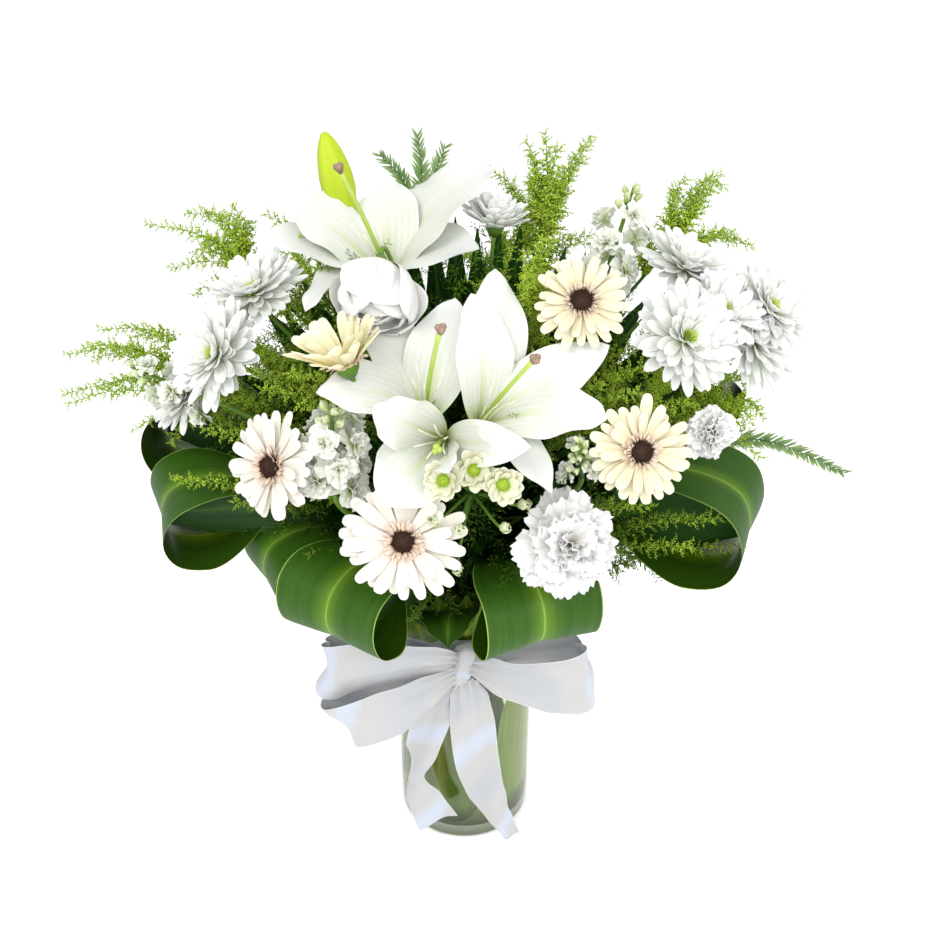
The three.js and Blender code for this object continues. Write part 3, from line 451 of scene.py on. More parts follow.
# A closed thin blade over rows of points, with a sharp rim. A list of two skins is for top and underside.
def blade(name, rows, thickness, skin):
    count = len(rows[0])
    points, uvs, faces, under = [], [], [], []
    top, low = [], []
    for i, row in enumerate(rows):
        before, after = rows[max(i - 1, 0)], rows[min(i + 1, len(rows) - 1)]
        topRow, lowRow = [], []
        for j, p in enumerate(row):
            if j in (0, count - 1):
                sides = [(p, (topRow, lowRow))]
            else:
                normal = (row[j + 1] - row[j - 1]).cross(after[j] - before[j])
                normal = (normal if normal.length > 1e-9 else up).normalized() * thickness / 2
                sides = [(p + normal, (topRow,)), (p - normal, (lowRow,))]
            for place, ids in sides:
                points.append(place)
                uvs.append((j / (count - 1), i / (len(rows) - 1)))
                for each in ids:
                    each.append(len(points) - 1)
        top.append(topRow)
        low.append(lowRow)
    for i in range(len(rows) - 1):
        for j in range(count - 1):
            faces.append((top[i][j], top[i][j + 1], top[i + 1][j + 1], top[i + 1][j]))
            under.append((low[i][j], low[i + 1][j], low[i + 1][j + 1], low[i][j + 1]))
    ends = [tuple(ids[::-1] + other[1:-1]) for ids, other in ((top[0], low[0]), (low[-1], top[-1]))]
    topCount = len(faces)
    mesh = newMesh(name, points, [tuple(dict.fromkeys(f)) for f in faces + under + ends], uvs, skin)
    rim = {ids[j] for ids in top for j in (0, -1)}.union(top[0], low[0], top[-1], low[-1])
    sharp = mesh.attributes.new("sharp_edge", "BOOLEAN", "EDGE")
    for edge in mesh.edges:
        sharp.data[edge.index].value = edge.vertices[0] in rim and edge.vertices[1] in rim
    if isinstance(skin, list):
        for face in mesh.polygons:
            face.material_index = int(face.index >= topCount)
    return mesh


def tube(name, line, radii, sides, skinName):
    points, uvs, faces = [], [], []
    across = None
    for i, p in enumerate(line):
        way = heading(line, i)
        if across is None:
            across = (Vector((1, 0, 0)) if abs(way.x) < 0.9 else Vector((0, 1, 0))).cross(way)
        across = (across - way * across.dot(way)).normalized()
        other = way.cross(across)
        radius = radii[i] if isinstance(radii, list) else radii
        for j in range(sides):
            angle = tau * j / sides
            points.append(p + across * radius * math.cos(angle) + other * radius * math.sin(angle))
            uvs.append((j / sides, i / (len(line) - 1)))
    for i in range(len(line) - 1):
        for j in range(sides):
            a, b = i * sides + j, i * sides + (j + 1) % sides
            faces.append((a, b, b + sides, a + sides))
    faces.append(tuple(range(sides))[::-1])
    faces.append(tuple(range(len(points) - sides, len(points))))
    return newMesh(name, points, faces, uvs, skins[skinName])


# A profile of radius and height turned round Z.
def turned(name, profile, sides, skinName):
    points, uvs, faces, rings = [], [], [], []
    for i, (radius, height) in enumerate(profile):
        ring = []
        for j in range(sides if radius > 1e-6 else 1):
            angle = tau * j / sides
            points.append(Vector((radius * math.cos(angle), radius * math.sin(angle), height)))
            uvs.append((j / sides, i / (len(profile) - 1)))
            ring.append(len(points) - 1)
        rings.append(ring * (sides // len(ring)))
    for a, b in zip(rings, rings[1:]):
        for j in range(sides):
            k = (j + 1) % sides
            faces.append(tuple(dict.fromkeys((a[j], a[k], b[k], b[j]))))
    return newMesh(name, points, faces, uvs, skins[skinName])


# Swells or creases a turned mesh by a share of its radius, and may flatten it.
def reshape(mesh, share, flat=1.0):
    for each in mesh.vertices:
        size = share(math.atan2(each.co.y, each.co.x), each.co.z)
        each.co.x *= size
        each.co.y *= size * flat
    return mesh


petalPlan = {
    "lift": 0, "bend": 0, "curl": 0,  # angles at the root, over the length, and at the tip alone
    "widest": 0.6, "root": 0.35, "blunt": 2.4, "fan": 0,  # outline
    "cup": 0, "groove": 0, "frill": 0, "waves": 3, "teeth": 0, "toothCount": 4,  # relief and edge
    "steps": 7, "columns": 5, "thickness": 0.4,
}


# A petal lies along +X from its root, with its face up.
def petal(name, spec, skin):
    draw = random.Random(name)
    s = SimpleNamespace(**{**petalPlan, **spec})
    length = s.length * (1 + 0.06 * draw.uniform(-1, 1))
    lean = 0.12 * draw.uniform(-1, 1)
    phase = draw.uniform(0, tau)
    place, last, rows = Vector((0, 0, 0)), 0, []
    for i in range(s.steps + 1):
        t = math.sin(tau / 4 * i / s.steps)
        angle = s.lift + s.bend * t + s.curl * t ** 4
        along = Vector((math.cos(angle), 0, math.sin(angle)))
        normal = Vector((-math.sin(angle), 0, math.cos(angle)))
        place = place + (along + Vector((0, lean * t, 0))) * length * (t - last)
        last = t
        if s.fan:
            size = mix(s.root, 1, t ** 0.8)
        elif t < s.widest:
            size = mix(s.root, 1, smoothstep(t, 0, s.widest))
        else:
            size = max(1 - ((t - s.widest) / (1 - s.widest)) ** s.blunt, 0) ** (1 / s.blunt)
        half = s.width / 2 * max(size, 0.04)
        row = []
        for c in spread(s.columns):
            rise = s.cup * half * c * c + s.groove * math.cos(c * 3 * math.pi) * (1 - t)
            rise += s.frill * t ** 3 * math.sin(c * s.waves * math.pi + phase)
            teeth = s.teeth * t ** 6 * math.cos(c * s.toothCount * tau + phase)
            shift = (teeth - s.fan * c * c * t * t) * length
            row.append(place + along * shift + Vector((0, c * half, 0)) + normal * rise)
        rows.append(row)
    return blade(name, rows, s.thickness, skin)


# Geometry Nodes trees. Each takes named inputs, and ends in Realize Instances, then Set Material when it
# has a finish.
trees = {}


def startTree(name, **inputs):
    tree = bpy.data.node_groups.new(name, "GeometryNodeTree")
    tree.interface.new_socket("Geometry", in_out="INPUT", socket_type="NodeSocketGeometry")
    for label, value in inputs.items():
        kind = value if isinstance(value, str) else type(value).__name__.title()
        socket = tree.interface.new_socket(label, in_out="INPUT", socket_type="NodeSocket" + kind)
        if kind != value:
            socket.default_value = value
    tree.interface.new_socket("Geometry", in_out="OUTPUT", socket_type="NodeSocketGeometry")
    sockets = {each.name: each.identifier for each in tree.interface.items_tree if each.in_out == "INPUT"}
    trees[name] = (tree, sockets)
    return tree, {each.name: Flow(each) for each in tree.nodes.new("NodeGroupInput").outputs}


def endTree(tree, geometry, material=None):
    real = get(tree, "GeometryNodeRealizeInstances", {0: geometry})
    if material:
        real = get(tree, "GeometryNodeSetMaterial", {"Geometry": real, "Material": material})
    tree.links.new(real.socket, tree.nodes.new("NodeGroupOutput").inputs[0])


def chance(tree, low, high, seed, extra=0):
    return get(tree, "FunctionNodeRandomValue", {2: low, 3: high, 8: seed + extra}, out=1,
               data_type="FLOAT")


def combine(tree, x=0.0, y=0.0, z=0.0):
    return get(tree, "ShaderNodeCombineXYZ", {0: x, 1: y, 2: z})


def spin(tree, x=0.0, y=0.0, z=0.0):
    return get(tree, "FunctionNodeEulerToRotation", {0: combine(tree, x, y, z)})


# Each point gets one of the four kinds in the collection.
def setInstances(tree, points, kinds, rotation, scale, seed, selection=True):
    picked = get(tree, "GeometryNodeCollectionInfo",
                 {"Collection": kinds, "Separate Children": True, "Reset Children": True})
    index = take("FLOOR", chance(tree, 0.0, 3.99, seed, 4))
    return get(tree, "GeometryNodeInstanceOnPoints",
               {"Points": points, "Instance": picked, "Pick Instance": True, "Instance Index": index,
                "Rotation": rotation, "Scale": scale, "Selection": selection})


# A ring of petals round the axis of a flower.
def makeWhorlTree():
    tree, given = startTree("petalWhorl", Petals="Collection", Count=12, Radius=0.004, Lift=0.0, Tilt=0.1,
                            Turn=0.0, Size=1.0, Wobble=0.08, Seed=1, Finish="Material")
    count, wobble, seed = given["Count"], given["Wobble"], given["Seed"]
    step = tau / count
    shift = wobble * step * 1.2 * chance(tree, -1.0, 1.0, seed)
    angle = get(tree, "GeometryNodeInputIndex") * step + given["Turn"] + shift
    place = combine(tree, take("COSINE", angle) * given["Radius"], take("SINE", angle) * given["Radius"],
                    given["Lift"])
    points = get(tree, "GeometryNodePoints", {"Count": count, "Position": place})
    tilt = (given["Tilt"] + wobble * chance(tree, -1.5, 1.5, seed, 1)) * -1.0
    roll = wobble * chance(tree, -2.5, 2.5, seed, 2)
    scale = given["Size"] * (wobble * chance(tree, -1.0, 1.0, seed, 3) + 1.0)
    ring = setInstances(tree, points, given["Petals"], spin(tree, roll, tilt, angle), scale, seed)
    endTree(tree, ring, given["Finish"])


# Florets over a dome, each a golden angle on from the last.
def makeDomeTree():
    tree, given = startTree("floretDome", Florets="Collection", Count=80, Radius=0.008, Height=0.003,
                            Hollow=0.0, Size=1.0, Splay=0.7, Seed=1, Finish="Material")
    index = get(tree, "GeometryNodeInputIndex")
    part = (index + 0.5) / given["Count"]
    out = take("SQRT", part)
    angle = index * goldenAngle
    radius = out * given["Radius"]
    height = (1.0 - part) * given["Height"] - given["Hollow"] * (1.0 - out) ** 3.0
    place = combine(tree, take("COSINE", angle) * radius, take("SINE", angle) * radius, height)
    points = get(tree, "GeometryNodePoints", {"Count": given["Count"], "Position": place})
    size = given["Size"] * (1.0 + chance(tree, -0.18, 0.18, given["Seed"]))
    florets = setInstances(tree, points, given["Florets"], spin(tree, 0.0, out * given["Splay"], angle),
                           size, given["Seed"])
    endTree(tree, florets, given["Finish"])


# Leaflets, needles or side shoots along a line, over a tapering stalk.
def makeAlongTree():
    tree, given = startTree("shootsAlong", Shoots="Collection", Spacing=0.003, Start=0.1, Step=2.4,
                            Tilt=0.8, Size=1.0, Taper=0.6, Wobble=0.15, Stalk=0.001, Seed=1,
                            Finish="Material")
    wobble, seed = given["Wobble"], given["Seed"]
    plain = get(tree, "GeometryNodeMeshToCurve", {0: given["Geometry"]})
    line = get(tree, "GeometryNodeResampleCurve", {0: plain, "Length": given["Spacing"]}, mode="LENGTH")
    along = get(tree, "GeometryNodeSplineParameter")
    tangent = get(tree, "GeometryNodeInputTangent")
    turn = get(tree, "GeometryNodeInputIndex") * given["Step"] + wobble * chance(tree, -1.5, 1.5, seed)
    down = (given["Tilt"] + wobble * chance(tree, -1.5, 1.5, seed, 1)) * -1.0
    lean = get(tree, "FunctionNodeAlignRotationToVector", {"Vector": tangent}, axis="Z")
    for each in (spin(tree, z=turn), spin(tree, y=down)):
        lean = get(tree, "FunctionNodeRotateRotation", {0: lean, 1: each}, rotation_space="LOCAL")
    jitter = 1.0 + wobble * chance(tree, -1.0, 1.0, seed, 2)
    size = (1.0 - along * given["Taper"]) * (jitter * given["Size"])
    wanted = get(tree, "FunctionNodeCompare", {0: along, 1: given["Start"]}, data_type="FLOAT",
                 operation="GREATER_THAN")
    shoots = setInstances(tree, line, given["Shoots"], lean, size, seed, wanted)
    thinner = 1.0 - along * 0.75
    thin = get(tree, "GeometryNodeSetCurveRadius", {"Curve": plain, "Radius": thinner})
    ring = get(tree, "GeometryNodeCurvePrimitiveCircle", {"Resolution": 3, "Radius": given["Stalk"]})
    stalk = get(tree, "GeometryNodeCurveToMesh",
                {"Curve": thin, "Profile Curve": ring, "Scale": thinner, "Fill Caps": True})
    both = add(tree, "GeometryNodeJoinGeometry")
    for each in (shoots, stalk):
        tree.links.new(each.socket, both.inputs[0])
    endTree(tree, Flow(both.outputs[0]), given["Finish"])


# Pieces set on single points, which carry their own turn and size.
def makeSetOnTree():
    tree, given = startTree("setOnPoints", Pieces="Collection", Seed=1, Finish="Material")
    turn, size = (get(tree, "GeometryNodeInputNamedAttribute", {"Name": name}, data_type=kind)
                  for name, kind in (("turn", "QUATERNION"), ("size", "FLOAT")))
    made = setInstances(tree, given["Geometry"], given["Pieces"], turn, size, given["Seed"])
    endTree(tree, made, given["Finish"])


# Everything in a collection as one mesh, with the materials that it has.
def makeGatherTree():
    tree, given = startTree("gather", Pieces="Collection")
    endTree(tree, get(tree, "GeometryNodeCollectionInfo", {"Collection": given["Pieces"]}))


def grow(treeName, base=None, **settings):
    tree, sockets = trees[treeName]
    base = base or bpy.data.meshes.new("seedMesh")
    holder = bpy.data.objects.new("growing", base)
    scene.collection.objects.link(holder)
    modifier = holder.modifiers.new("grow", "NODES")
    modifier.node_group = tree
    for label, value in settings.items():
        modifier[sockets[label]] = value
    evaluated = holder.evaluated_get(bpy.context.evaluated_depsgraph_get())
    made = bpy.data.meshes.new_from_object(evaluated)
    bpy.data.objects.remove(holder)
    bpy.data.meshes.remove(base)
    return made


def whorl(petals, skinName, count, radius, lift=0, **rest):
    return grow("petalWhorl", Petals=petals, Count=count, Radius=radius * mm, Lift=lift * mm,
                Finish=skins[skinName], **rest)


def floretDome(florets, skinName, count, radius, height, lift, **rest):
    made = grow("floretDome", Florets=florets, Count=count, Radius=radius * mm, Height=height * mm,
                Finish=skins[skinName], **rest)
    made.transform(Matrix.Translation((0, 0, lift * mm)))
    return made


def spray(line, shoots, skinName, seed, spacing, start, tilt, size=1.0, taper=0.5, wobble=0.25, stalk=0.9,
          step=goldenAngle):
    base = bpy.data.meshes.new("line")
    base.from_pydata([p * mm for p in line], [(i, i + 1) for i in range(len(line) - 1)], [])
    return grow("shootsAlong", base=base, Shoots=shoots, Spacing=spacing * mm, Start=start, Step=step,
                Tilt=tilt, Size=size, Taper=taper, Wobble=wobble, Stalk=stalk * mm, Seed=seed,
                Finish=skins[skinName])


def setOn(places, pieces, skinName):
    mesh = bpy.data.meshes.new("points")
    mesh.from_pydata([place * mm for place, turn, size in places], [], [])
    for name, kind in (("turn", "QUATERNION"), ("size", "FLOAT")):
        mesh.attributes.new(name, kind, "POINT")
    turns, sizes = mesh.attributes["turn"], mesh.attributes["size"]
    for k, (place, turn, size) in enumerate(places):
        turns.data[k].value = turn
        sizes.data[k].value = size
    return grow("setOnPoints", base=mesh, Pieces=pieces, Finish=skins[skinName])


def store(name, meshes):
    kept = bpy.data.collections.new(name)
    for k, mesh in enumerate(meshes):
        kept.objects.link(bpy.data.objects.new(f"{name}{k}", mesh))
    return kept


def clear(*stores):
    for kept in stores:
        for holder in list(kept.objects):
            mesh = holder.data
            bpy.data.objects.remove(holder)
            if mesh.users == 0:
                bpy.data.meshes.remove(mesh)
        bpy.data.collections.remove(kept)


# Four petals of one kind, each a little different.
def petalStore(name, spec, skinName):
    return store(name, [petal(f"{name}{k}", spec, skins[skinName]) for k in range(4)])


def placed(mesh, at, axis, turn=0.0):
    turned = up.rotation_difference(unit(axis)) @ Quaternion((0, 0, 1), turn)
    mesh.transform(Matrix.Translation(Vector(at) * mm) @ turned.to_matrix().to_4x4())
    return mesh


def weld(meshes):
    if len(meshes) == 1:
        return meshes[0]
    kept = store("weld", meshes)
    made = grow("gather", Pieces=kept)
    clear(kept)
    return made


def piece(name, meshes, nodes):
    mesh = weld(meshes if isinstance(meshes, list) else [meshes])
    mesh.name = name
    made = bpy.data.objects.new(name, mesh)
    scene.collection.objects.link(made)
    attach(made, "root")
    if nodes:
        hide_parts(*nodes)
    return made


def titled(name):
    return name.title().replace("_", "")


carried = []  # every head asks for one stem, which ends under it


def carry(at, axis, foot, radius, reach):
    way = unit(axis)
    carried.append((Vector(at) - way * foot, way, radius, reach))


setStage()
makeWhorlTree()
makeDomeTree()
makeAlongTree()
makeSetOnTree()
makeGatherTree()
print("stage and trees ready")

# The vase is a plain cylinder with a thick foot, and the water reaches just into its wall.
vase = {
    "profile": [(0, 0), (50, 0), (54.5, 0.2), (58.6, 1.2), (61.4, 3.4), (62.5, 7), (62.5, 40), (62.5, 100),
                (62.5, 170), (62.5, 240), (62.4, 248.6), (61.9, 249.7), (60.9, 250), (59.9, 249.7),
                (59.4, 248.6), (59.3, 240), (59.3, 170), (59.3, 100), (59.3, 40), (59.3, 22), (58.5, 18),
                (56, 15.2), (52, 14.1), (40, 14), (0, 14)],
    "sides": 96,
    "water": [(0, 13.8), (40, 13.8), (52.1, 13.9), (56.2, 15), (58.7, 17.8), (59.4, 22), (59.4, 60),
              (59.4, 120), (59.4, 170.6), (59.4, 172), (58.6, 171.6), (57.5, 171.3), (50, 171.2),
              (0, 171.2)],
}
piece("vaseOfGlass", turned("vaseOfGlass", vase["profile"], vase["sides"], "glass"), ["vase"])
piece("waterInVase", turned("waterInVase", vase["water"], vase["sides"], "water"), ["water"])
print("vase made")

# Satin: a plain band round the lip, and a soft bow. Each strip has points, the way that its width lies,
# and widths.
ribbon = {
    "band": {"radius": 63.35, "height": 225, "width": 38, "ease": 0.1, "steps": 96, "columns": 7},
    "bandSheet": (0.038, 0.398),
    "bowSheet": (0.05, 1.25),
    "thickness": 0.5,
    "loopSteps": 84,
    "tailSteps": 44,
    "columns": 17,
    "pleat": 2.6,
    "soft": 3.4,
    "edge": 0.9,
    "loops": [
        ([[-2, -76, 232], [-36, -92, 243], [-78, -98, 243], [-116, -90, 232], [-117, -76, 231],
          [-78, -70, 236], [-40, -72, 235], [-4, -74, 228]],
         [[0, 0, 1], [.1, -.2, 1], [.1, -.2, 1], [.3, -.2, 1], [.2, -.1, 1], [0, 0, 1], [0, 0, 1],
          [0, 0, 1]], 46,
         [.4, .95, 1.2, 1.15, 1.1, 1, .75, .4]),
        ([[-4, -78, 222], [-36, -94, 208], [-68, -102, 194], [-105, -101, 181], [-105, -86, 182],
          [-70, -80, 195], [-40, -75, 212], [-6, -72, 221]],
         [[0, 0, 1], [-.15, -.1, 1], [-.3, -.1, 1], [-.5, -.1, 1], [-.45, 0, 1], [-.3, 0, 1], [-.2, 0, 1],
          [0, 0, 1]],
         46, [.35, .85, 1.15, 1.2, 1.15, .95, .6, .35]),
        ([[2, -78, 228], [36, -96, 228], [74, -106, 230], [102, -98, 229], [106, -86, 231], [96, -74, 234],
          [60, -70, 234], [30, -71, 232], [3, -73, 228]],
         [[0, 0, 1], [-.1, -.2, 1], [-.2, -.2, 1], [-.25, -.2, 1], [-.3, 0, 1], [-.2, 0, 1], [0, 0, 1],
          [0, 0, 1], [0, 0, 1]], 46, [.4, 1.1, 1.55, 1.7, 1.6, 1.25, 1, .65, .4]),
    ],
    "tails": [
        ([[-6, -78, 214], [-17, -78, 196], [-28, -77, 170], [-38, -75, 130], [-45, -72, 100],
          [-37, -73, 66], [-24, -75, 38]],
         [[1, 0, .4], [1, 0, .4], [1, 0, .25], [1, -.2, .1], [.6, -.8, 0], [1, -.2, .2], [1, 0, .5]], 40,
         [.45, .75, .85, .75, .6, .85, 1]),
        ([[2, -79, 214], [5, -80, 192], [8, -80, 160], [12, -79, 120], [20, -78, 80], [32, -78, 46],
          [45, -78, 22]],
         [[1, 0, 0], [1, 0, 0], [1, 0, 0], [1, 0, .1], [1, 0, .3], [.9, 0, .5], [.8, -.3, .6]], 40,
         [.5, .85, 1, 1, .9, .6, .42]),
    ],
    "knot": [(0, -22), (5, -21), (8, -18), (9.6, -12), (10.4, -6), (9.4, 0), (9, 5), (10.2, 10), (11, 15),
             (10, 19), (7, 22), (3, 22.9), (0, 23)],
    "knotAt": (-1, -75, 226),
    "knotTilt": 16,
}


# Near the knot the satin is gathered into pleats, which smooth out along the loop.
def satinStrip(k, loop, points, lies, width, factors):
    draw = random.Random(40 + k)
    steps = ribbon["loopSteps" if loop else "tailSteps"]
    lieLine = smoothLine([unit(lie) for lie in lies], steps)
    phases = [draw.uniform(0, tau) for each in range(3)]

    def rise(t, c, half):
        gathered = max(math.exp(-t * 9), math.exp((t - 1) * 9)) if loop else math.exp(-t * 6)
        pleat = ribbon["pleat"] * gathered * math.sin(c * 3.2 * math.pi + phases[0])
        soft = ribbon["soft"] * math.sin(c * 2.6 + t * 9 + phases[1]) * (1 - gathered)
        return -(pleat + soft + ribbon["edge"] * c * c * math.sin(t * 11 + phases[2]))

    rows = sweep(smoothLine(points, steps), ribbon["columns"], lambda i, t, way: lieLine[i],
                 lambda t: width * valueAlong(factors, t) / 2, rise)
    return blade(f"strip{k}", rows, ribbon["thickness"], skins["satin"])


def makeRibbon():
    band = ribbon["band"]

    def onBand(t, c):
        radius = band["radius"] + band["ease"] * math.sin(tau * t * 5) * c * c
        height = band["height"] + c * band["width"] / 2
        return Vector((radius * math.sin(tau * t), radius * math.cos(tau * t), height))

    wrap = piece("ribbonBand", blade("band", grid(band["steps"], band["columns"], onBand),
                                     ribbon["thickness"], skins["satin"]), ["ribbon_band"])
    strips = [(True, strip) for strip in ribbon["loops"]] + [(False, strip) for strip in ribbon["tails"]]
    meshes = [satinStrip(k, loop, *strip) for k, (loop, strip) in enumerate(strips)]
    knot = reshape(turned("knot", ribbon["knot"], 28, "satin"),
                   lambda a, z: 1 + 0.11 * math.sin(a * 6 + z * 110), 0.78)
    tilt = Matrix.Rotation(math.radians(ribbon["knotTilt"]), 4, "Y")
    knot.transform(Matrix.Translation(Vector(ribbon["knotAt"]) * mm) @ tilt)
    bow = piece("ribbonBow", meshes + [knot], ["ribbon_bow"])


makeRibbon()
print("ribbon made")

# Broad leaves folded over outwards: name, azimuth, reach, height of the fold, its roll, and the width.
leaves = {
    "leaf_front_left": (-33, 188, 338, 56, 94),
    "leaf_left_front": (-60, 184, 339, 52, 68),
    "leaf_left": (-71, 250, 384, 54, 94),
    "leaf_left_high": (-95, 258, 410, 58, 94),
    "leaf_front_right": (21, 172, 334, 54, 94),
    "leaf_right": (67, 242, 382, 74, 94),
    "leaf_right_high": (97, 226, 438, 50, 60),
    "leaf_back_left": (-138, 196, 372, 58, 94),
    "leaf_back": (178, 186, 344, 56, 94),
    "leaf_back_right": (137, 198, 380, 58, 94),
}
leafPlan = {"steps": 52, "columns": 15, "mouth": 50, "mouthHeight": 238, "petiole": 7, "cup": 0.06,
            "crease": 0.9, "ripple": 1.1, "thickness": 0.6}
shortLeaf = {
    "line": [[-6, -50, 238], [-8, -54, 258], [-10, -72, 282], [-12, -104, 296], [-12, -128, 288]],
    "widths": [7, 14, 30, 46, 50, 34, 2],
    "side": (1, -0.1, 0.15),
    "cup": 0.06,
}


def facing(angle):
    return Vector((math.sin(angle), -math.cos(angle), 0))


def foldedLeaf(name, azimuth, reach, rise, roll, width):
    out = facing(math.radians(azimuth))
    side = Vector((-out.y, out.x, 0))
    r = roll / 2
    mouth, mouthHeight, top = leafPlan["mouth"], leafPlan["mouthHeight"], rise + r
    profile = [(mouth, mouthHeight), (mouth + 3, mouthHeight + 26),
               (mix(mouth, reach, .22), mix(mouthHeight, top, .62)), (reach - 2.3 * r, top - 5),
               (reach - r, top), (reach - .25 * r, rise + .68 * r), (reach, rise),
               (reach - .28 * r, rise - .7 * r), (reach - r, rise - r), (reach - 1.9 * r, rise - .9 * r),
               (reach - 3.1 * r, rise - .45 * r)]
    line = smoothLine([out * u + up * z for u, z in profile], leafPlan["steps"])
    phase = random.Random(name).uniform(0, tau)

    def half(t):
        wide = mix(leafPlan["petiole"], width, smoothstep(t, .12, .42))
        return wide * math.sqrt(max(0.0009, 1 - smoothstep(t, .8, 1.02))) / 2

    def relief(t, c, half):
        fold = leafPlan["cup"] * half * abs(c) - leafPlan["crease"] * math.exp(-(c * 9) ** 2)
        ripple = leafPlan["ripple"] * c * abs(c) * math.sin(t * 19 + phase + c)
        return fold + ripple * smoothstep(t, 0.3, 0.5)

    rows = sweep(line, leafPlan["columns"], lambda i, t, way: side, half, relief)
    return blade(name, rows, leafPlan["thickness"], [skins["leafTop"], skins["leafUnder"]])


def strap(name, points, widths, side, cup, skin, steps=26, columns=9, ripple=0.6):
    side = unit(side)
    rows = sweep(smoothLine(points, steps), columns, lambda i, t, way: side,
                 lambda t: valueAlong(widths, t) / 2,
                 lambda t, c, half: cup * half * c * c + ripple * c * math.sin(t * 13))
    return blade(name, rows, 0.5, skin)


for leafName, leafSpec in leaves.items():
    piece(titled(leafName) + "Folded", foldedLeaf(leafName, *leafSpec), [leafName])
piece("ShortLeafAtNeck",
      strap("short", shortLeaf["line"], shortLeaf["widths"], shortLeaf["side"], shortLeaf["cup"],
            [skins["leafTop"], skins["leafUnder"]]),
      ["leaf_front_short"])
print("leaves made")

# Leaves curled against the inside of the glass: azimuths of the edges, their lean, and the skin.
lining = {
    "radius": 55.95,
    "low": 20,
    "high": 180,
    "ripple": 0.35,
    "midrib": 1.1,
    "thickness": 0.6,
    "leaves": {"lining_leaf_left": (-68, 20, 0, "lining"),
               "lining_leaf_right": (30, 112, 14, "liningPale")},
}


def liningLeaf(name, first, last, lean, skinName):
    middle, halfAngle = (first + last) / 2, (last - first) / 2

    def onGlass(t, c):
        half = halfAngle * math.sqrt(max(0.02, 1 - 0.75 * (2 * t - 1) ** 4))
        angle = math.radians(middle + lean * (t - 0.5) + half * c)
        radius = lining["radius"] + lining["ripple"] * math.sin(c * 4 + t * 9)
        radius -= lining["midrib"] * math.exp(-(c * 8) ** 2)
        return facing(angle) * radius + up * mix(lining["low"], lining["high"], t)

    return blade(name, grid(32, 21, onGlass), lining["thickness"], skins[skinName])


for leafName, leafSpec in lining["leaves"].items():
    piece("Curled" + titled(leafName), liningLeaf(leafName, *leafSpec), [leafName])

# Lilies. Each has its base, axis, and petals that arch out from the throat to their tips: x, y, z, width.
lilies = {
    "back": {"base": [-52, -12, 545], "axis": [-0.32, -0.15, 0.93],
             "petals": [[-134, -5, 612, 64], [-146, -32, 592, 72], [-112, -78, 552, 46], [12, -48, 588, 80],
                        [26, 22, 628, 94], [-56, 38, 612, 66]],
             "pistil": ([-4, -6, 6], 86), "stem": (4, 2.4, 80), "nodes": ["lily_pistil_back"]},
    "left": {"base": [-27, -122, 484], "axis": [0.08, -0.42, 0.9],
             "petals": [[-70, -68, 548, 48], [-5, -78, 562, 54], [-98, -148, 522, 56]],
             "pistil": ([6, -4, 4], 86), "stem": (4.8, 2.2, 60), "nodes": ["lily_pistil_left"]},
    "right": {"base": [10, -120, 480], "axis": [0.33, -0.5, 0.8],
              "petals": [[23, -68, 580, 52], [102, -110, 540, 48], [98, -152, 504, 54], [60, -186, 466, 40],
                         [6, -100, 574, 48], [27, -192, 494, 34]],
              "pistil": ([8, 2, 2], 77.4), "stem": (4.8, 2.2, 60), "nodes": ["lily_pistil_right"]},
    "low": {"base": [-12, -122, 472], "axis": [-0.15, -0.88, 0.45],
            "petals": [[-52, -198, 464, 60], [44, -198, 508, 36], [-56, -186, 532, 44],
                       [-8, -206, 494, 24]],
            "pistil": ([2, 0, -6], 34), "stem": (4.8, 2.2, 60), "nodes": []},
}
lilyPetal = {"steps": 26, "columns": 13, "cup": 0.18, "thickness": 0.7}
lilyBud = {
    "profile": [(0, 0), (3, 0.6), (4.2, 2.5), (6.4, 9), (9, 17), (11, 26), (12.4, 35), (12.3, 45), (11, 54),
                (9, 63), (6.4, 70), (3, 76.5), (0, 78)],
    "sides": 36,
    "at": [-88, 16, 578],
    "axis": [-0.2, 0.1, 0.97],
}


def lilyPetalMesh(name, base, axis, tip, width, k):
    draw = random.Random(name)
    base, way = Vector(base), unit(axis)
    reach = Vector(tip) - base
    out = (reach - way * reach.dot(way)).normalized()
    side = way.cross(out)
    inner = k % 2 == 0  # the inner three are more grooved and frilled, and arch higher
    groove, frill, arch = (1.5, 2.6, 26) if inner else (1.0, 1.4, 14)
    line = bezier(way * 1, way * 40 + out * 14, reach * 0.66 + way * arch, reach, lilyPetal["steps"])
    phase, waves = draw.uniform(0, tau), draw.uniform(2.2, 3.2)
    twist = draw.uniform(-0.25, 0.25)

    def half(t):
        swell = math.sin(math.pi * t ** 0.85) ** 0.8 if t < 1 else 0
        return max(width / 2 * swell * mix(0.8, 1, t), 2.6 * (1 - t) + 0.25)

    def rise(t, c, half):
        height = lilyPetal["cup"] * half * (c * c - 0.3) * (1 - 0.5 * t)
        height -= groove * math.exp(-(c * 7) ** 2) * (1 - t)
        height += 0.6 * math.exp(-((abs(c) - 0.2) * 9) ** 2) * (1 - t)
        edge = frill * abs(c) ** 3 * math.sin(t * waves * tau + phase + c * 1.3)
        return height + edge * smoothstep(t, 0.15, 0.5) * (1 - smoothstep(t, 0.9, 1))

    rows = sweep(line, lilyPetal["columns"], lambda i, t, along: Quaternion(along, twist * t * t) @ side,
                 half, rise)
    mesh = blade(name, rows, lilyPetal["thickness"], skins["lily"])
    mesh.transform(Matrix.Translation(base * mm))
    return mesh


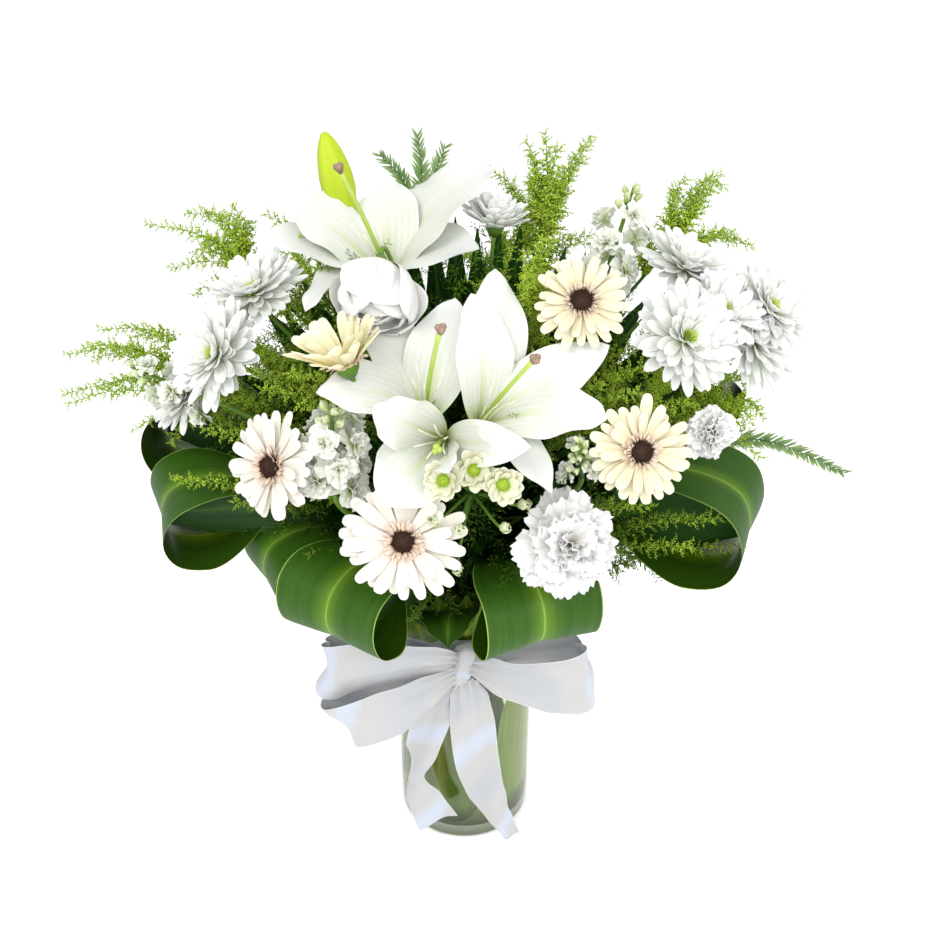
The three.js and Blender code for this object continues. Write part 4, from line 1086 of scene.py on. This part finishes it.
# The style swells at its root and under the stigma, which has three lobes.
def lilyPistil(name, base, axis, bend, length):
    way = unit(axis)
    start, bend = Vector(base) + way * 13.35, Vector(bend)
    line, radii = [], []
    for t in (i / 18 for i in range(19)):
        line.append(start + way * length * t + bend * t * t)
        lower, upper = mix(3.0, 1.7, smoothstep(t, 0.06, 0.2)), mix(1.5, 1.9, smoothstep(t, 0.8, 0.92))
        radii.append(lower if t < 0.8 else upper)
    made = [tube(name, line[:-1], radii[:-1], 10, "pistil")]
    top, flat = line[-1], way.orthogonal().normalized()
    for k in range(3):
        out = Quaternion(way, tau * k / 3) @ flat
        lobe = [top - way * 6, top - way * 2.2 + out * 1.0, top + out * 2.2, top + way * 1.4 + out * 2.9]
        made.append(tube(f"{name}Lobe{k}", lobe, [1.4, 2.4, 2.5, 0.9], 8,
                         "stigma" if length > 40 else "pistil"))
    return made


def lilyFilaments(name, base, axis):
    draw = random.Random(name)
    way = unit(axis)
    flat = way.orthogonal().normalized()
    made = []
    for k in range(6):
        out = Quaternion(way, tau * (k + 0.5) / 6) @ flat
        length = draw.uniform(40, 52)
        line = [Vector(base) + way * (10 + length * t) + out * (2.5 + 9 * t * t)
                for t in (0, 0.25, 0.5, 0.75, 1)]
        made.append(tube(f"{name}Thread{k}", line, [0.9, 0.8, 0.7, 0.6, 0.45], 6, "daisy"))
    return made


def makeLilies():
    gathered = []
    for name, spec in lilies.items():
        base, axis = spec["base"], spec["axis"]
        petals = [lilyPetalMesh(f"{name}{k}", base, axis, each[:3], each[3], k)
                  for k, each in enumerate(spec["petals"])]
        petals += lilyFilaments(name, base, axis)
        if name == "back":
            piece("LilyOnTop", petals, ["lily_back"])
        else:
            gathered += petals
        pistil = lilyPistil(f"pistil{name}", base, axis, *spec["pistil"])
        piece("Pistil" + titled(name), pistil, spec["nodes"])
        carry(base, axis, *spec["stem"])
    piece("LiliesInFront", gathered, ["lilies_front"])
    bud = reshape(turned("bud", lilyBud["profile"], lilyBud["sides"], "bud"),
                  lambda a, z: 1 + 0.06 * math.cos(a * 6) + 0.06 * math.cos(a * 3 + 0.4))
    piece("LilyBudClosed", placed(bud, lilyBud["at"], lilyBud["axis"]), ["lily_bud"])
    carry(lilyBud["at"], lilyBud["axis"], 0, 2, 60)


makeLilies()
print("lilies made")

# Gerberas: two layers of broad petals, two rings of short pinkish florets, and a near-black heart.
gerberas = {  # at, axis, radius, skin, slot, lift of the petals
    "front": ([-40, -186, 428], [-0.05, -0.9, 0.42], 41, "gerbera", "gerbera_petal", 0.06),
    "left": ([-131, -150, 466], [-0.55, -0.74, 0.38], 36, "gerbera", "gerbera_petal", 0.06),
    "back": ([82, -98, 567], [0, -0.78, 0.62], 31, "gerberaCream", "gerbera_cream", 0.16),
    "right": ([121, -157, 482], [0.2, -0.86, 0.46], 34, "gerberaCream", "gerbera_cream", 0.1),
    "yellow": ([-77, -142, 539], [-0.3, -0.08, 0.95], 39, "gerberaYellow", "gerbera_yellow", 0.78),
}
seedShape = {"bend": -0.2, "cup": 0.3, "widest": 0.7, "steps": 3, "columns": 3, "thickness": 0.3}
gerberaPlan = {
    "petal": {"bend": -0.26, "cup": 0.14, "groove": 0.4, "widest": 0.7, "root": 0.4, "blunt": 2.8,
              "steps": 8, "columns": 9, "thickness": 0.5},
    "ring": {**seedShape, "length": 8, "width": 2.0, "lift": 0.5, "bend": -0.5, "widest": 0.6, "root": 0.6},
    "seed": {**seedShape, "length": 3.6, "width": 0.9, "lift": 1.45, "root": 0.8},
    "cup": [(0, -10), (2.4, -9.6), (5, -7), (7.8, -3), (8.6, 0), (7.6, 2.2), (0, 2.6)],
    "pad": [(0, 3.0), (7.2, 3.2), (7.7, 4.4), (6.4, 6.0), (3.6, 6.6), (0, 6.1)],
    "turn": 0.2,
}


def makeGerberas():
    plan = gerberaPlan
    short = petalStore("gerberaRing", plan["ring"], "gerberaRing")
    seed = petalStore("gerberaSeed", plan["seed"], "disc")
    for k, (name, (at, axis, radius, skin, slot, lift)) in enumerate(gerberas.items()):
        long = {**plan["petal"], "length": radius - 4, "width": radius * 0.225, "lift": lift + 0.14}
        outer = petalStore("outer", long, skin)
        inner = petalStore("inner", {**long, "length": radius * 0.9 - 5, "lift": lift + 0.32}, skin)
        head = weld([
            whorl(outer, skin, 22, 6.2, Tilt=0.0, Turn=0.2, Seed=k + 1, Wobble=0.11),
            whorl(inner, skin, 17, 6.2, 1.6, Tilt=0.0, Turn=0.36, Seed=k + 21, Wobble=0.13),
            whorl(short, "gerberaRing", 44, 7.4, 3.2, Tilt=0.15, Seed=k + 41, Size=radius / 38, Wobble=0.3),
            whorl(short, "gerberaRing", 36, 6.6, 4.2, Tilt=0.5, Seed=k + 51, Size=radius / 44, Wobble=0.3),
            turned("cup", plan["cup"], 20, "stem")])
        piece("Gerbera" + titled(name), placed(head, at, axis, plan["turn"]), [f"gerbera_{name}"])
        heart = weld([
            floretDome(seed, "disc", 190, 7.6, 2.2, 3.6, Hollow=1.8 * mm, Size=0.85, Splay=0.5,
                       Seed=k + 61),
            turned("pad", plan["pad"], 20, "disc")])
        piece(f"Gerbera{titled(name)}Heart", placed(heart, at, axis, plan["turn"]),
              [f"gerbera_{name}_disc"])
        clear(outer, inner)
        carry(at, axis, 9, 2, 50)
    clear(short, seed)


makeGerberas()
print("gerberas made")

# Chrysanthemums: at, axis, radius, how far its petals are raised if it is half closed, and its nodes.
mums = {
    "left_high": ([-152, -50, 554], [-0.3, -0.3, 0.9], 31, 0, ["mum_left_high"]),
    "left": ([-174, -92, 524], [-0.5, -0.62, 0.6], 33, 0, ["mum_left"]),
    "right": ([157, -94, 538], [0.3, -0.75, 0.58], 33, 0, ["mum_right"]),
    "right_outer": ([214, -60, 522], [0.6, -0.55, 0.6], 33, 0, ["mum_right_outer"]),
    "right_high": ([164, -28, 566], [0.35, -0.2, 0.92], 31, 0, ["mum_right_high"]),
    "top": ([24, -8, 592], [0.1, -0.15, 0.98], 23, 0.5, ["mum_top"]),
    "back": ([-70, 110, 540], [-0.25, 0.7, 0.66], 33, 0, ["mum_back"]),
    "fill_right": ([186, -66, 546], [0.3, -0.65, 0.7], 28, 0, []),
    "fill_outer": ([226, -44, 540], [0.4, -0.6, 0.7], 30, 0, []),
    "fill_left": ([-216, -40, 465], [-0.5, -0.5, 0.7], 24, 0, []),
}
mumPlan = {
    "grown": 1.14,  # the petals reach past the radius
    "layers": [  # reach, lift, count, height
        (1.06, 0.05, 22, 0.0), (1.0, 0.24, 20, 1.2), (0.88, 0.44, 18, 2.4), (0.7, 0.68, 15, 3.4),
        (0.5, 0.95, 11, 4.2)],
    "petal": {"bend": -0.1, "curl": 0.35, "cup": 0.4, "widest": 0.66, "root": 0.5, "blunt": 2.2, "steps": 8,
              "columns": 7},
    "seed": {**seedShape, "length": 4.4, "width": 1.3, "lift": 1.4, "cup": 0.4, "root": 0.7},
    "cup": [(0, -9), (2.2, -8.6), (4.6, -6), (7, -2), (6.6, 2), (5.2, 5), (0, 5.6)],
}


def makeMums():
    plan = mumPlan
    seeds = petalStore("mumSeed", plan["seed"], "mumHeart")
    for k, (name, (at, axis, radius, closed, nodes)) in enumerate(mums.items()):
        radius *= plan["grown"]
        parts = []
        for n, (reach, lift, count, height) in enumerate(plan["layers"]):
            shape = {**plan["petal"], "length": radius * reach - 3, "width": radius * 0.25,
                     "lift": lift + closed}
            petals = petalStore("mumPetal", shape, "mum")
            parts.append(whorl(petals, "mum", count, 3.4, height, Turn=0.37 * n, Tilt=0.0, Seed=10 * k + n,
                               Wobble=0.1))
            clear(petals)
        heart = floretDome(seeds, "mumHeart", 70, 5.8, 2.2, 4, Hollow=1 * mm, Size=1.0, Splay=0.6, Seed=k)
        head = weld(parts + [heart, turned("cup", plan["cup"], 20, "stem")])
        piece("Chrysanthemum" + titled(name), placed(head, at, axis), nodes)
        carry(at, axis, 8, 1.5, 40)
    clear(seeds)


makeMums()

# Small daisies: cupped cream petals round a green dome, with buds beside them.
daisies = {
    "foot": [6, -138, 436],
    "heads": [([-12, -182, 474], [-0.15, -0.9, 0.4]), ([8, -176, 478], [0, -0.85, 0.5]),
              ([27, -184, 472], [0.1, -0.9, 0.4])],
    "buds": [([-19, -182, 441], [-0.2, -0.7, 0.6]), ([-2, -186, 438], [0, -0.8, 0.5]),
             ([28, -182, 436], [0.3, -0.8, 0.5]), ([-4, -178, 400], [0, -0.9, 0.4]),
             ([40, -168, 446], [0.5, -0.7, 0.5])],
    "petal": {"length": 13.5, "width": 8, "lift": 0.5, "bend": 0.25, "cup": 0.35, "widest": 0.62,
              "root": 0.4, "columns": 7},
    "seed": {**seedShape, "length": 1.7, "width": 0.9, "lift": 1.5, "widest": 0.6},
    "bud": {"length": 12, "width": 8, "lift": 1.15, "bend": 0.75, "cup": 0.6, "steps": 6, "widest": 0.5,
            "root": 0.4},
    "pad": [(0, -4), (3, -3), (4.6, 0), (5.4, 1.2), (4.6, 2.9), (2.6, 4.2), (0, 4.6)],
}


def makeDaisies():
    petals = petalStore("daisyPetal", daisies["petal"], "daisy")
    seeds = petalStore("daisySeed", daisies["seed"], "daisyHeart")
    budPetals = petalStore("daisyBud", daisies["bud"], "stockBud")
    foot, parts = Vector(daisies["foot"]), []
    for k, (at, axis) in enumerate(daisies["heads"] + daisies["buds"]):
        end = Vector(at) - unit(axis) * 3
        line = bezier(foot, foot + up * 6, end - unit(axis) * 12, end, 8)
        parts.append(tube(f"twig{k}", line, 1.2, 6, "stem"))
    for k, (at, axis) in enumerate(daisies["heads"]):
        parts.append(placed(weld([
            whorl(petals, "daisy", 12, 3.6, 0.5, Seed=k, Wobble=0.1),
            whorl(petals, "daisy", 10, 3, 1.2, Tilt=0.3, Turn=0.3, Size=0.86, Seed=k + 9, Wobble=0.1),
            floretDome(seeds, "daisyHeart", 90, 5.5, 3.4, 1.2, Size=1.0, Splay=1.1, Seed=k),
            turned("pad", daisies["pad"], 14, "daisyHeart")]), at, axis))
    for k, (at, axis) in enumerate(daisies["buds"]):
        closed = whorl(budPetals, "stockBud", 8, 2.8, Seed=k + 30, Wobble=0.08, Size=0.9)
        parts.append(placed(closed, at, axis))
    clear(petals, seeds, budPetals)
    piece("SmallDaisies", parts, ["daisies"])
    carry(daisies["foot"], [0, -0.7, 0.7], 1.5, 1.4, 30)


makeDaisies()

# Carnations: at, axis, radius. The one in the centre nods and is nearly closed.
carnations = {
    "front": ([74, -178, 420], [0.15, -0.85, 0.5], 32),
    "centre": ([-58, -90, 576], [-0.05, -0.76, -0.65], 26),
    "right": ([176, -122, 478], [0.5, -0.75, 0.4], 18),
    "back": ([104, 132, 468], [0.3, 0.8, 0.5], 30),
}
carnationPlan = {  # each layer has its tilt, count of petals, reach and height
    "petal": {"lift": 0.25, "bend": -0.4, "waves": 3.3, "teeth": 0.035, "toothCount": 3.2, "fan": 0.3,
              "root": 0.12, "steps": 6, "columns": 19, "thickness": 0.3},
    "byRadius": {"length": 1.02, "width": 0.8, "frill": 0.075},  # shares of the radius
    "layers": [(0.0, 13, 1.0, -0.2), (0.3, 13, 1.0, -0.14), (0.55, 12, 0.97, -0.08), (0.8, 11, 0.94, -0.02),
               (1.02, 10, 0.9, 0.04), (1.22, 8, 0.86, 0.1), (1.42, 6, 0.8, 0.14)],
    "wobble": 0.24,
}
closedPlan = {
    "petal": {"length": 58, "width": 48, "lift": 0.05, "bend": 2.1, "cup": 0.24, "frill": 0.9, "waves": 2.2,
              "teeth": 0.012, "toothCount": 3, "widest": 0.62, "root": 0.2, "blunt": 3.0, "steps": 14,
              "columns": 13, "thickness": 0.35},
    "byRadius": {},
    "layers": [(0.12, 5, 1.0, -0.72), (0.24, 5, 0.93, -0.68), (0.38, 5, 0.85, -0.62),
               (0.55, 4, 0.76, -0.54)],
    "wobble": 0.06,
}


def makeCarnations():
    for k, (name, (at, axis, radius)) in enumerate(carnations.items()):
        plan = closedPlan if name == "centre" else carnationPlan
        shape = {**plan["petal"], **{label: radius * share for label, share in plan["byRadius"].items()}}
        petals = petalStore("carnationPetal", shape, "carnation")
        parts = [whorl(petals, "carnation", count, 1, radius * height, Tilt=tilt - 0.15, Turn=0.7 * n,
                       Size=reach, Wobble=plan["wobble"], Seed=7 * k + n)
                 for n, (tilt, count, reach, height) in enumerate(plan["layers"])]
        clear(petals)
        foot = radius * 0.35 + 16
        calyx = [(0, -foot), (2.5, -foot + 0.8), (5, -foot + 5), (6.4, -radius * 0.35), (0, -radius * 0.3)]
        head = weld(parts + [turned("calyx", calyx, 18, "stem")])
        piece("Carnation" + titled(name), placed(head, at, axis), [f"carnation_{name}"])
        carry(at, axis, foot, 1.6, 40)


makeCarnations()

# Stock: a spike of double ruffled florets with greenish buds over it. Foot, tip, florets, buds, size.
stocks = {
    "left": ([-92, -138, 440], [-88, -150, 514], 14, 9, 18),
    "top": ([106, -16, 546], [128, 6, 618], 8, 9, 16),
    "far_left": ([-196, -52, 470], [-258, -36, 490], 7, 8, 14),
    "right": ([84, -144, 454], [79, -168, 494], 4, 20, 11),
}
stockPlan = {
    "petal": {"length": 15, "width": 14, "lift": 0.5, "bend": -0.5, "frill": 1.4, "waves": 2, "teeth": 0.02,
              "toothCount": 1.5, "fan": 0.3, "root": 0.2, "steps": 5, "columns": 11, "thickness": 0.35},
    "bud": {"length": 9, "width": 6.4, "lift": 1.25, "bend": 0.7, "cup": 0.6, "steps": 6, "widest": 0.5,
            "root": 0.4},
    "layers": [  # count, tilt, turn, size, height
        (6, -0.15, 0.0, 1.0, 0), (6, 0.25, 0.5, 0.9, 1.2), (5, 0.65, 0.2, 0.72, 2.2),
        (4, 1.0, 0.8, 0.5, 3)],
    "budSpan": (0.74, 1.0),
    "looseBudSpan": (0.25, 1.05),  # the right spike is mostly in bud
}


def makeStocks():
    petals = petalStore("stockPetal", stockPlan["petal"], "stock")
    budPetals = petalStore("stockBud", stockPlan["bud"], "stockBud")
    florets = store("stockFloret", [weld([
        whorl(petals, "stock", count, 0.6, height, Tilt=tilt, Turn=turn, Size=size, Wobble=0.22,
              Seed=3 * k + n)
        for n, (count, tilt, turn, size, height) in enumerate(stockPlan["layers"])]) for k in range(4)])
    buds = store("stockBudHead", [whorl(budPetals, "stockBud", 6, 2.2, Seed=k + 60, Wobble=0.08)
                                  for k in range(4)])
    for name, (foot, tip, floretCount, budCount, size) in stocks.items():
        foot, tip = Vector(foot), Vector(tip)
        way = (tip - foot).normalized()
        flat = way.orthogonal().normalized()
        big, small = [], []
        for k in range(floretCount):
            t = 0.84 * k / floretCount
            out = Quaternion(way, goldenAngle * k) @ flat
            turn = up.rotation_difference((out * 2 + way).normalized())
            big.append((foot.lerp(tip, t) + out * size * 0.85, turn, size / 17 * (1.05 - 0.35 * t)))
        for k in range(budCount):
            t = mix(*stockPlan["looseBudSpan" if name == "right" else "budSpan"], k / budCount)
            out = Quaternion(way, goldenAngle * k) @ flat
            turn = up.rotation_difference((out + way * 1.2).normalized())
            small.append((foot.lerp(tip, t) + out * size * (1 - t * 0.75) * 0.7, turn,
                          size / 15 * (1.15 - 0.45 * t)))
        spike = tube("spike", [foot, foot.lerp(tip, 0.5), foot.lerp(tip, 0.97)], [2.2, 1.8, 1.0], 8, "stem")
        piece("Stock" + titled(name), [setOn(big, florets, "stock"), setOn(small, buds, "stockBud"), spike],
              [f"stock_{name}"])
        carry(foot, way, 0.8, 2, 50)
    clear(petals, budPetals, florets, buds)


makeStocks()
print("small flowers made")

# Goldenrod: arching plumes of tiny buds, forked from one stalk. Foot, fork and tips.
goldenrods = {
    "left_high": ([-100, 20, 470], [-172, 26, 552],
                  [[-178, 26, 600], [-218, 34, 590], [-248, 26, 584], [-232, 14, 552], [-140, 60, 540]]),
    "left_low": ([-96, -38, 434], [-200, -4, 462],
                 [[-322, 0, 484], [-294, 10, 502], [-322, -20, 458], [-262, -44, 438], [-176, -40, 512],
                  [-150, -14, 510]]),
    "centre": ([30, -40, 480], [51, -60, 540],
               [[56, -74, 606], [48, -98, 580], [66, -60, 584], [62, -96, 548]]),
    "top": ([50, 30, 520], [66, 34, 580], [[62, 34, 652], [46, 30, 648], [98, 40, 648], [20, 50, 620]]),
    "right_high": ([120, 40, 500], [170, 40, 566],
                   [[198, 24, 624], [172, 30, 618], [230, 24, 566], [160, 70, 560]]),
    "right_low": ([84, -40, 430], [186, -60, 458],
                  [[228, -80, 468], [214, -56, 490], [222, -104, 446], [150, -104, 510], [110, -96, 510]]),
    "back_left": ([-60, 80, 430], [-120, 130, 470],
                  [[-170, 150, 520], [-120, 170, 500], [-200, 110, 480], [-60, 160, 480]]),
    "back_right": ([20, 90, 450], [40, 150, 500],
                   [[20, 188, 550], [70, 180, 550], [0, 200, 500], [130, 110, 550]]),
}

# Tips of the sprays that stand up between the front blooms.
frontSprays = [[-193, -70, 484], [-162, -100, 518], [-140, -120, 512], [-119, -120, 524], [-113, -130, 504],
               [-106, -40, 575], [-120, -20, 589], [-91, -60, 537], [-6, -20, 538], [15, -10, 550],
               [5, -50, 522], [87, -90, 543], [99, -110, 510], [79, -60, 554], [124, -120, 509],
               [142, -110, 527], [163, -110, 496], [135, -80, 529], [190, -120, 405], [169, -130, 387],
               [217, -100, 367], [135, -140, 428], [-215, -110, 432], [-189, -100, 468], [-48, -120, 483],
               [-59, -110, 499], [-137, 10, 578], [-150, 20, 592], [-126, 25, 596], [-154, -60, 554],
               [-178, -80, 531], [103, -130, 488]]

# Greens between the blooms run from the neck to points spread evenly over a dome.
goldFill = {"count": 52, "centre": (0, -14, 410), "half": (228, 146, 188), "start": 262,
            "shares": (0.84, 1.0)}


def domeLine(k, count, dome, seed, steps=14):
    draw = random.Random(seed)
    rise = 1 - 1.55 * (k + 0.5) / count
    flat = math.sqrt(max(0, 1 - rise * rise))
    angle = goldenAngle * k + draw.uniform(-0.2, 0.2)
    out = Vector((flat * math.cos(angle), flat * math.sin(angle), rise))
    end = Vector(dome["centre"]) + out * Vector(dome["half"]) * draw.uniform(*dome["shares"])
    start = Vector((end.x * 0.12, end.y * 0.12, dome["start"]))
    middle = start.lerp(end, 0.55) + Vector((-out.x * 14, -out.y * 14, 20))
    return smoothLine([start, middle, end], steps)


# Each tip has one main line and two shorter ones beside it.
def plumeLines(foot, fork, tips):
    draw = random.Random(str(foot))
    lines = []
    for k, tip in enumerate(tips):
        tip = Vector(tip)
        start = foot.lerp(fork, 1 - 0.17 * k)
        middle = start.lerp(tip, 0.55) + up * (16 + 5 * (k % 2))
        lines.append(smoothLine([start, middle, tip - (tip - start).normalized() * 2], 16))
        for each in range(2):
            off = Vector([draw.uniform(-15, 15) for axis in range(3)])
            side = start.lerp(tip, draw.uniform(0.62, 0.88)) + off
            lines.append(smoothLine([start.lerp(tip, 0.12 * each), middle.lerp(side, 0.4) + off * 0.3,
                                     side], 12))
    return lines


# One bud or leaflet is a three-sided spindle; a shoot is a short stalk of them, and a plume is set with
# shoots.
def spindle(length, radius, skinName):
    ring = [Vector((length * 0.55, radius * math.cos(tau * j / 3),
                    radius * math.sin(tau * j / 3))) for j in range(3)]
    faces = [(0, 1 + (j + 1) % 3, 1 + j) for j in range(3)] + [(4, 1 + j,
                                                                1 + (j + 1) % 3) for j in range(3)]
    uvs = [(0.5, 0)] + [(j / 3, 0.6) for j in range(3)] + [(0.5, 1)]
    return newMesh("spindle", [Vector((0, 0, 0))] + ring + [Vector((length, 0, 0))], faces, uvs,
                   skins[skinName])


def sideShoots(name, length, spacing, leaflets, skinName, seed):
    made = []
    for k in range(4):
        bow = random.Random(f"{name}{k}").uniform(-0.1, 0.22) * length
        line = [Vector((0, bow * math.sin(t * 2.4), length * t)) for t in (0, 0.35, 0.7, 1)]
        mesh = spray(line, leaflets, skinName, seed + k, spacing, 0.08, 0.75, taper=0.45, stalk=0.4)
        mesh.transform(Matrix.Rotation(math.radians(90), 4, "Y"))
        made.append(mesh)
    return store(name, made)


def makeGoldenrods():
    tiny = store("tinyBud", [spindle(3.6 + 0.5 * k, 1.3, "goldenrod") for k in range(4)])
    shoots = sideShoots("goldShoot", 13, 1.15, tiny, "goldenrod", 5)
    for n, (name, (foot, fork, tips)) in enumerate(goldenrods.items()):
        foot, fork = Vector(foot), Vector(fork)
        parts = [spray(line, shoots, "goldenrod", 20 * n + k, 1.5, 0.04, 0.52, 1.05, 0.62)
                 for k, line in enumerate(plumeLines(foot, fork, tips))]
        parts.append(tube("stalk", [foot, foot.lerp(fork, 0.5), fork], [1.6, 1.5, 1.3], 7, "stem"))
        piece("Goldenrod" + titled(name), parts, [f"goldenrod_{name}"])
        carry(foot, fork - foot, 0.8, 1.6, 50)
    fillers = [[] for each in range(3)]
    for k in range(goldFill["count"]):
        line = domeLine(k, goldFill["count"], goldFill, f"gold{k}")
        fillers[k % 3].append(spray(line, shoots, "goldenrod", 500 + k, 1.9, 0.66, 0.6))
    for n, meshes in enumerate(fillers):
        piece(f"GoldenrodFill{n}", meshes, [])
    front = []
    for k, tip in enumerate(frontSprays):
        tip = Vector(tip)
        start = Vector((tip.x * 0.3, tip.y * 0.3, max(262, tip.z - 110)))
        line = smoothLine([start, start.lerp(tip, 0.6) + up * 16, tip], 14)
        front.append(spray(line, shoots, "goldenrod", 700 + k, 1.8, 0.4, 0.56, 1.15, 0.55))
    piece("GoldenrodBetweenBlooms", front, [])
    clear(shoots, tiny)


makeGoldenrods()
print("goldenrods made")

# Needled sprigs: two flat ranks of needles, and a third set round the stalk. Foot and tips.
sprigs = {
    "fern_top": ([-30, 40, 560], [[-62, 30, 634], [-34, 34, 648], [-14, 38, 638]]),
    "fern_right": ([170, -8, 410], [[322, -4, 376]]),
}
needle = {"length": 21, "width": 4.2, "bend": 0.1, "cup": 0.15, "steps": 4, "columns": 3, "widest": 0.3,
          "root": 0.6, "blunt": 1.3, "thickness": 0.3}


def makeSprigs():
    needles = petalStore("needle", needle, "needle")
    for each in needles.objects:
        each.data.transform(Matrix.Rotation(math.radians(90), 4, "X"))
    for n, (name, (foot, tips)) in enumerate(sprigs.items()):
        foot, parts = Vector(foot), []
        for k, tip in enumerate(tips):
            line = smoothLine([foot, foot.lerp(Vector(tip), 0.55) + up * 16, tip], 20)
            for rank, step in enumerate((math.pi, math.pi, goldenAngle)):
                parts.append(spray(line, needles, "needle", 40 + 5 * n + k + rank, 2.1 + rank * 0.9, 0.12,
                                   0.95, 0.9 - rank * 0.12, 0.55, 0.12, step=step))
        piece(titled(name) + "Sprig", parts, [name])
        carry(foot, up.lerp((Vector(tips[0]) - foot).normalized(), 0.6), 1.5, 1.5, 50)
    clear(needles)


makeSprigs()

# Stems cross in a loose spiral at the neck, under the heads; each head has one stem of its own above the
# binding.
stemPlan = {
    "rings": [(7, 40, 26, 2.6), (4, 19, 11, 2.6), (5, 30, 19, 1.8)],
     # count, radius at foot and neck, thickness
    "foot": 17,
    "neck": 262,
    "twist": 0.5,
    "bound": 254,  # where the carried stems start
    "tie": [(0, 248), (26, 248), (28, 250), (28, 258), (26, 260), (0, 260)],
}


def makeStems():
    draw = random.Random(8)
    parts = []
    for ring, (count, low, high, radius) in enumerate(stemPlan["rings"]):
        for k in range(count):
            angle = tau * k / count + ring * 0.35
            turn = angle + stemPlan["twist"]
            foot = Vector((low * math.cos(angle), low * math.sin(angle), stemPlan["foot"] + 2 * (k % 3)))
            neck = Vector((high * math.cos(turn), high * math.sin(turn), stemPlan["neck"]))
            side = Vector((-math.sin(angle), math.cos(angle), 0)) * draw.uniform(-3, 3)
            line = bezier(foot, foot.lerp(neck, 0.33) + side, foot.lerp(neck, 0.66) - side, neck, 20)
            parts.append(tube("stem", line,
                              [radius * (1 + 0.05 * math.sin(i * 1.3 + k)) for i in range(21)], 10, "stem"))
    for k, (end, way, radius, reach) in enumerate(carried):
        away = 7 + 16 * ((k * 0.618) % 1)
        start = Vector((end.x, end.y, 0)).normalized() * away + up * stemPlan["bound"]
        rise = start + Vector((0.6 * start.x, 0.6 * start.y, 0.5 * (end.z - start.z)))
        parts.append(tube("carried", bezier(start, rise, end - way * reach, end, 20), radius, 8, "stem"))
    piece("StemsInWater", parts + [turned("tie", stemPlan["tie"], 24, "stem")], ["stems"])


makeStems()
print("stems made")

# Dark feathery fronds and lance leaves fill the dome behind the blooms.
undergrowth = {
    "count": 120, "centre": (0, -8, 405), "half": (224, 142, 190), "start": 262, "shares": (0.74, 0.95),
    "leaves": 170, "leafHalf": (205, 132, 184), "leafWidths": [3, 6, 22, 30, 26, 16, 1],
    "collar": 26, "collarWidths": [8, 26, 34, 28, 2],
    "neckPlaces": (-34, -17, 2, 19, 34), "neckWidths": [22, 32, 32, 22, 3],
    "fan": 24, "fanWidths": [4, 20, 36, 40, 34, 18, 1],
}


def makeFronds():
    leaflets = store("leaflet", [spindle(11 + k, 1.1, "undergrowth") for k in range(4)])
    fronds = sideShoots("frond", 42, 1.9, leaflets, "undergrowth", 90)
    groups = [[] for each in range(4)]
    for k in range(undergrowth["count"]):
        line = domeLine(k, undergrowth["count"], undergrowth, f"frond{k}")
        groups[k % 4].append(spray(line, fronds, "undergrowth", 300 + k, 8, 0.4, 0.7, 1.0, 0.4, 0.2, 1.2))
    for n, meshes in enumerate(groups):
        piece(f"DarkFoliage{n}", meshes, [])
    clear(fronds, leaflets)


def makeStraps():
    plan, inner, collar = undergrowth, skins["innerLeaf"], skins["collar"]
    dome = {**plan, "half": plan["leafHalf"]}
    straps = []
    for k in range(plan["leaves"]):
        line = domeLine(k, plan["leaves"], dome, f"lance{k}", 4)
        side = up.cross(line[-1] - line[0]) + up * random.Random(k).uniform(-90, 90)
        straps.append(strap("lance", line, plan["leafWidths"], side, 0.12, inner, 12, 5, 1.5))
    for azimuth, reach, rise, roll, width in leaves.values():  # into the open rolls of the folded leaves
        if abs(azimuth) > 30:
            out = facing(math.radians(azimuth))
            for k in range(3):
                low = Vector((0, 6 - 12 * k, 10 * k - 10))
                line = [out * 46 + up * 246 + low, out * reach * 0.5 + up * (rise - 22) + low,
                        out * (reach - 5 - 4 * k) + up * rise + low * 0.2]
                straps.append(strap("loopLeaf", line, [8, 36, 48, roll * 0.84, roll * 0.8, roll * 0.3],
                                    (out.y * 0.3, -out.x * 0.3, 1), 0.1, inner, 14, 7, 1.5))
    for k in range(plan["collar"]):
        out = facing(goldenAngle * k)
        line = [out * 34 + up * 232, out * 45 + up * 258, out * 62 + up * (284 + 9 * (k % 3))]
        straps.append(strap("collar", line, plan["collarWidths"], (out.y, -out.x, 0.15), -0.1, collar, 14,
                            7, 1.0))
    for x in plan["neckPlaces"]:
        line = [(x, -54, 232), (x * 1.1, -66, 258), (x * 1.25, -73, 298)]
        straps.append(strap("neckLeaf", line, plan["neckWidths"], (1, 0.1, 0.1), 0.12, collar, 14, 7, 1.0))
    for k in range(plan["fan"]):  # a fan of dark leaves behind the blooms
        x, y = mix(-195, 200, k / (plan["fan"] - 1)), 14 * (k % 3)
        line = [(x * 0.12, y * 0.4, 262), (x * 0.62, y, 420), (x, y, 588 - 0.003 * x * x)]
        straps.append(strap("fanLeaf", line, plan["fanWidths"], (1, 0.25 * (k % 3 - 1), 0), 0.14, inner, 12,
                            5, 1.5))
    piece("LanceLeaves", straps, [])


makeFronds()
makeStraps()
print("undergrowth made")
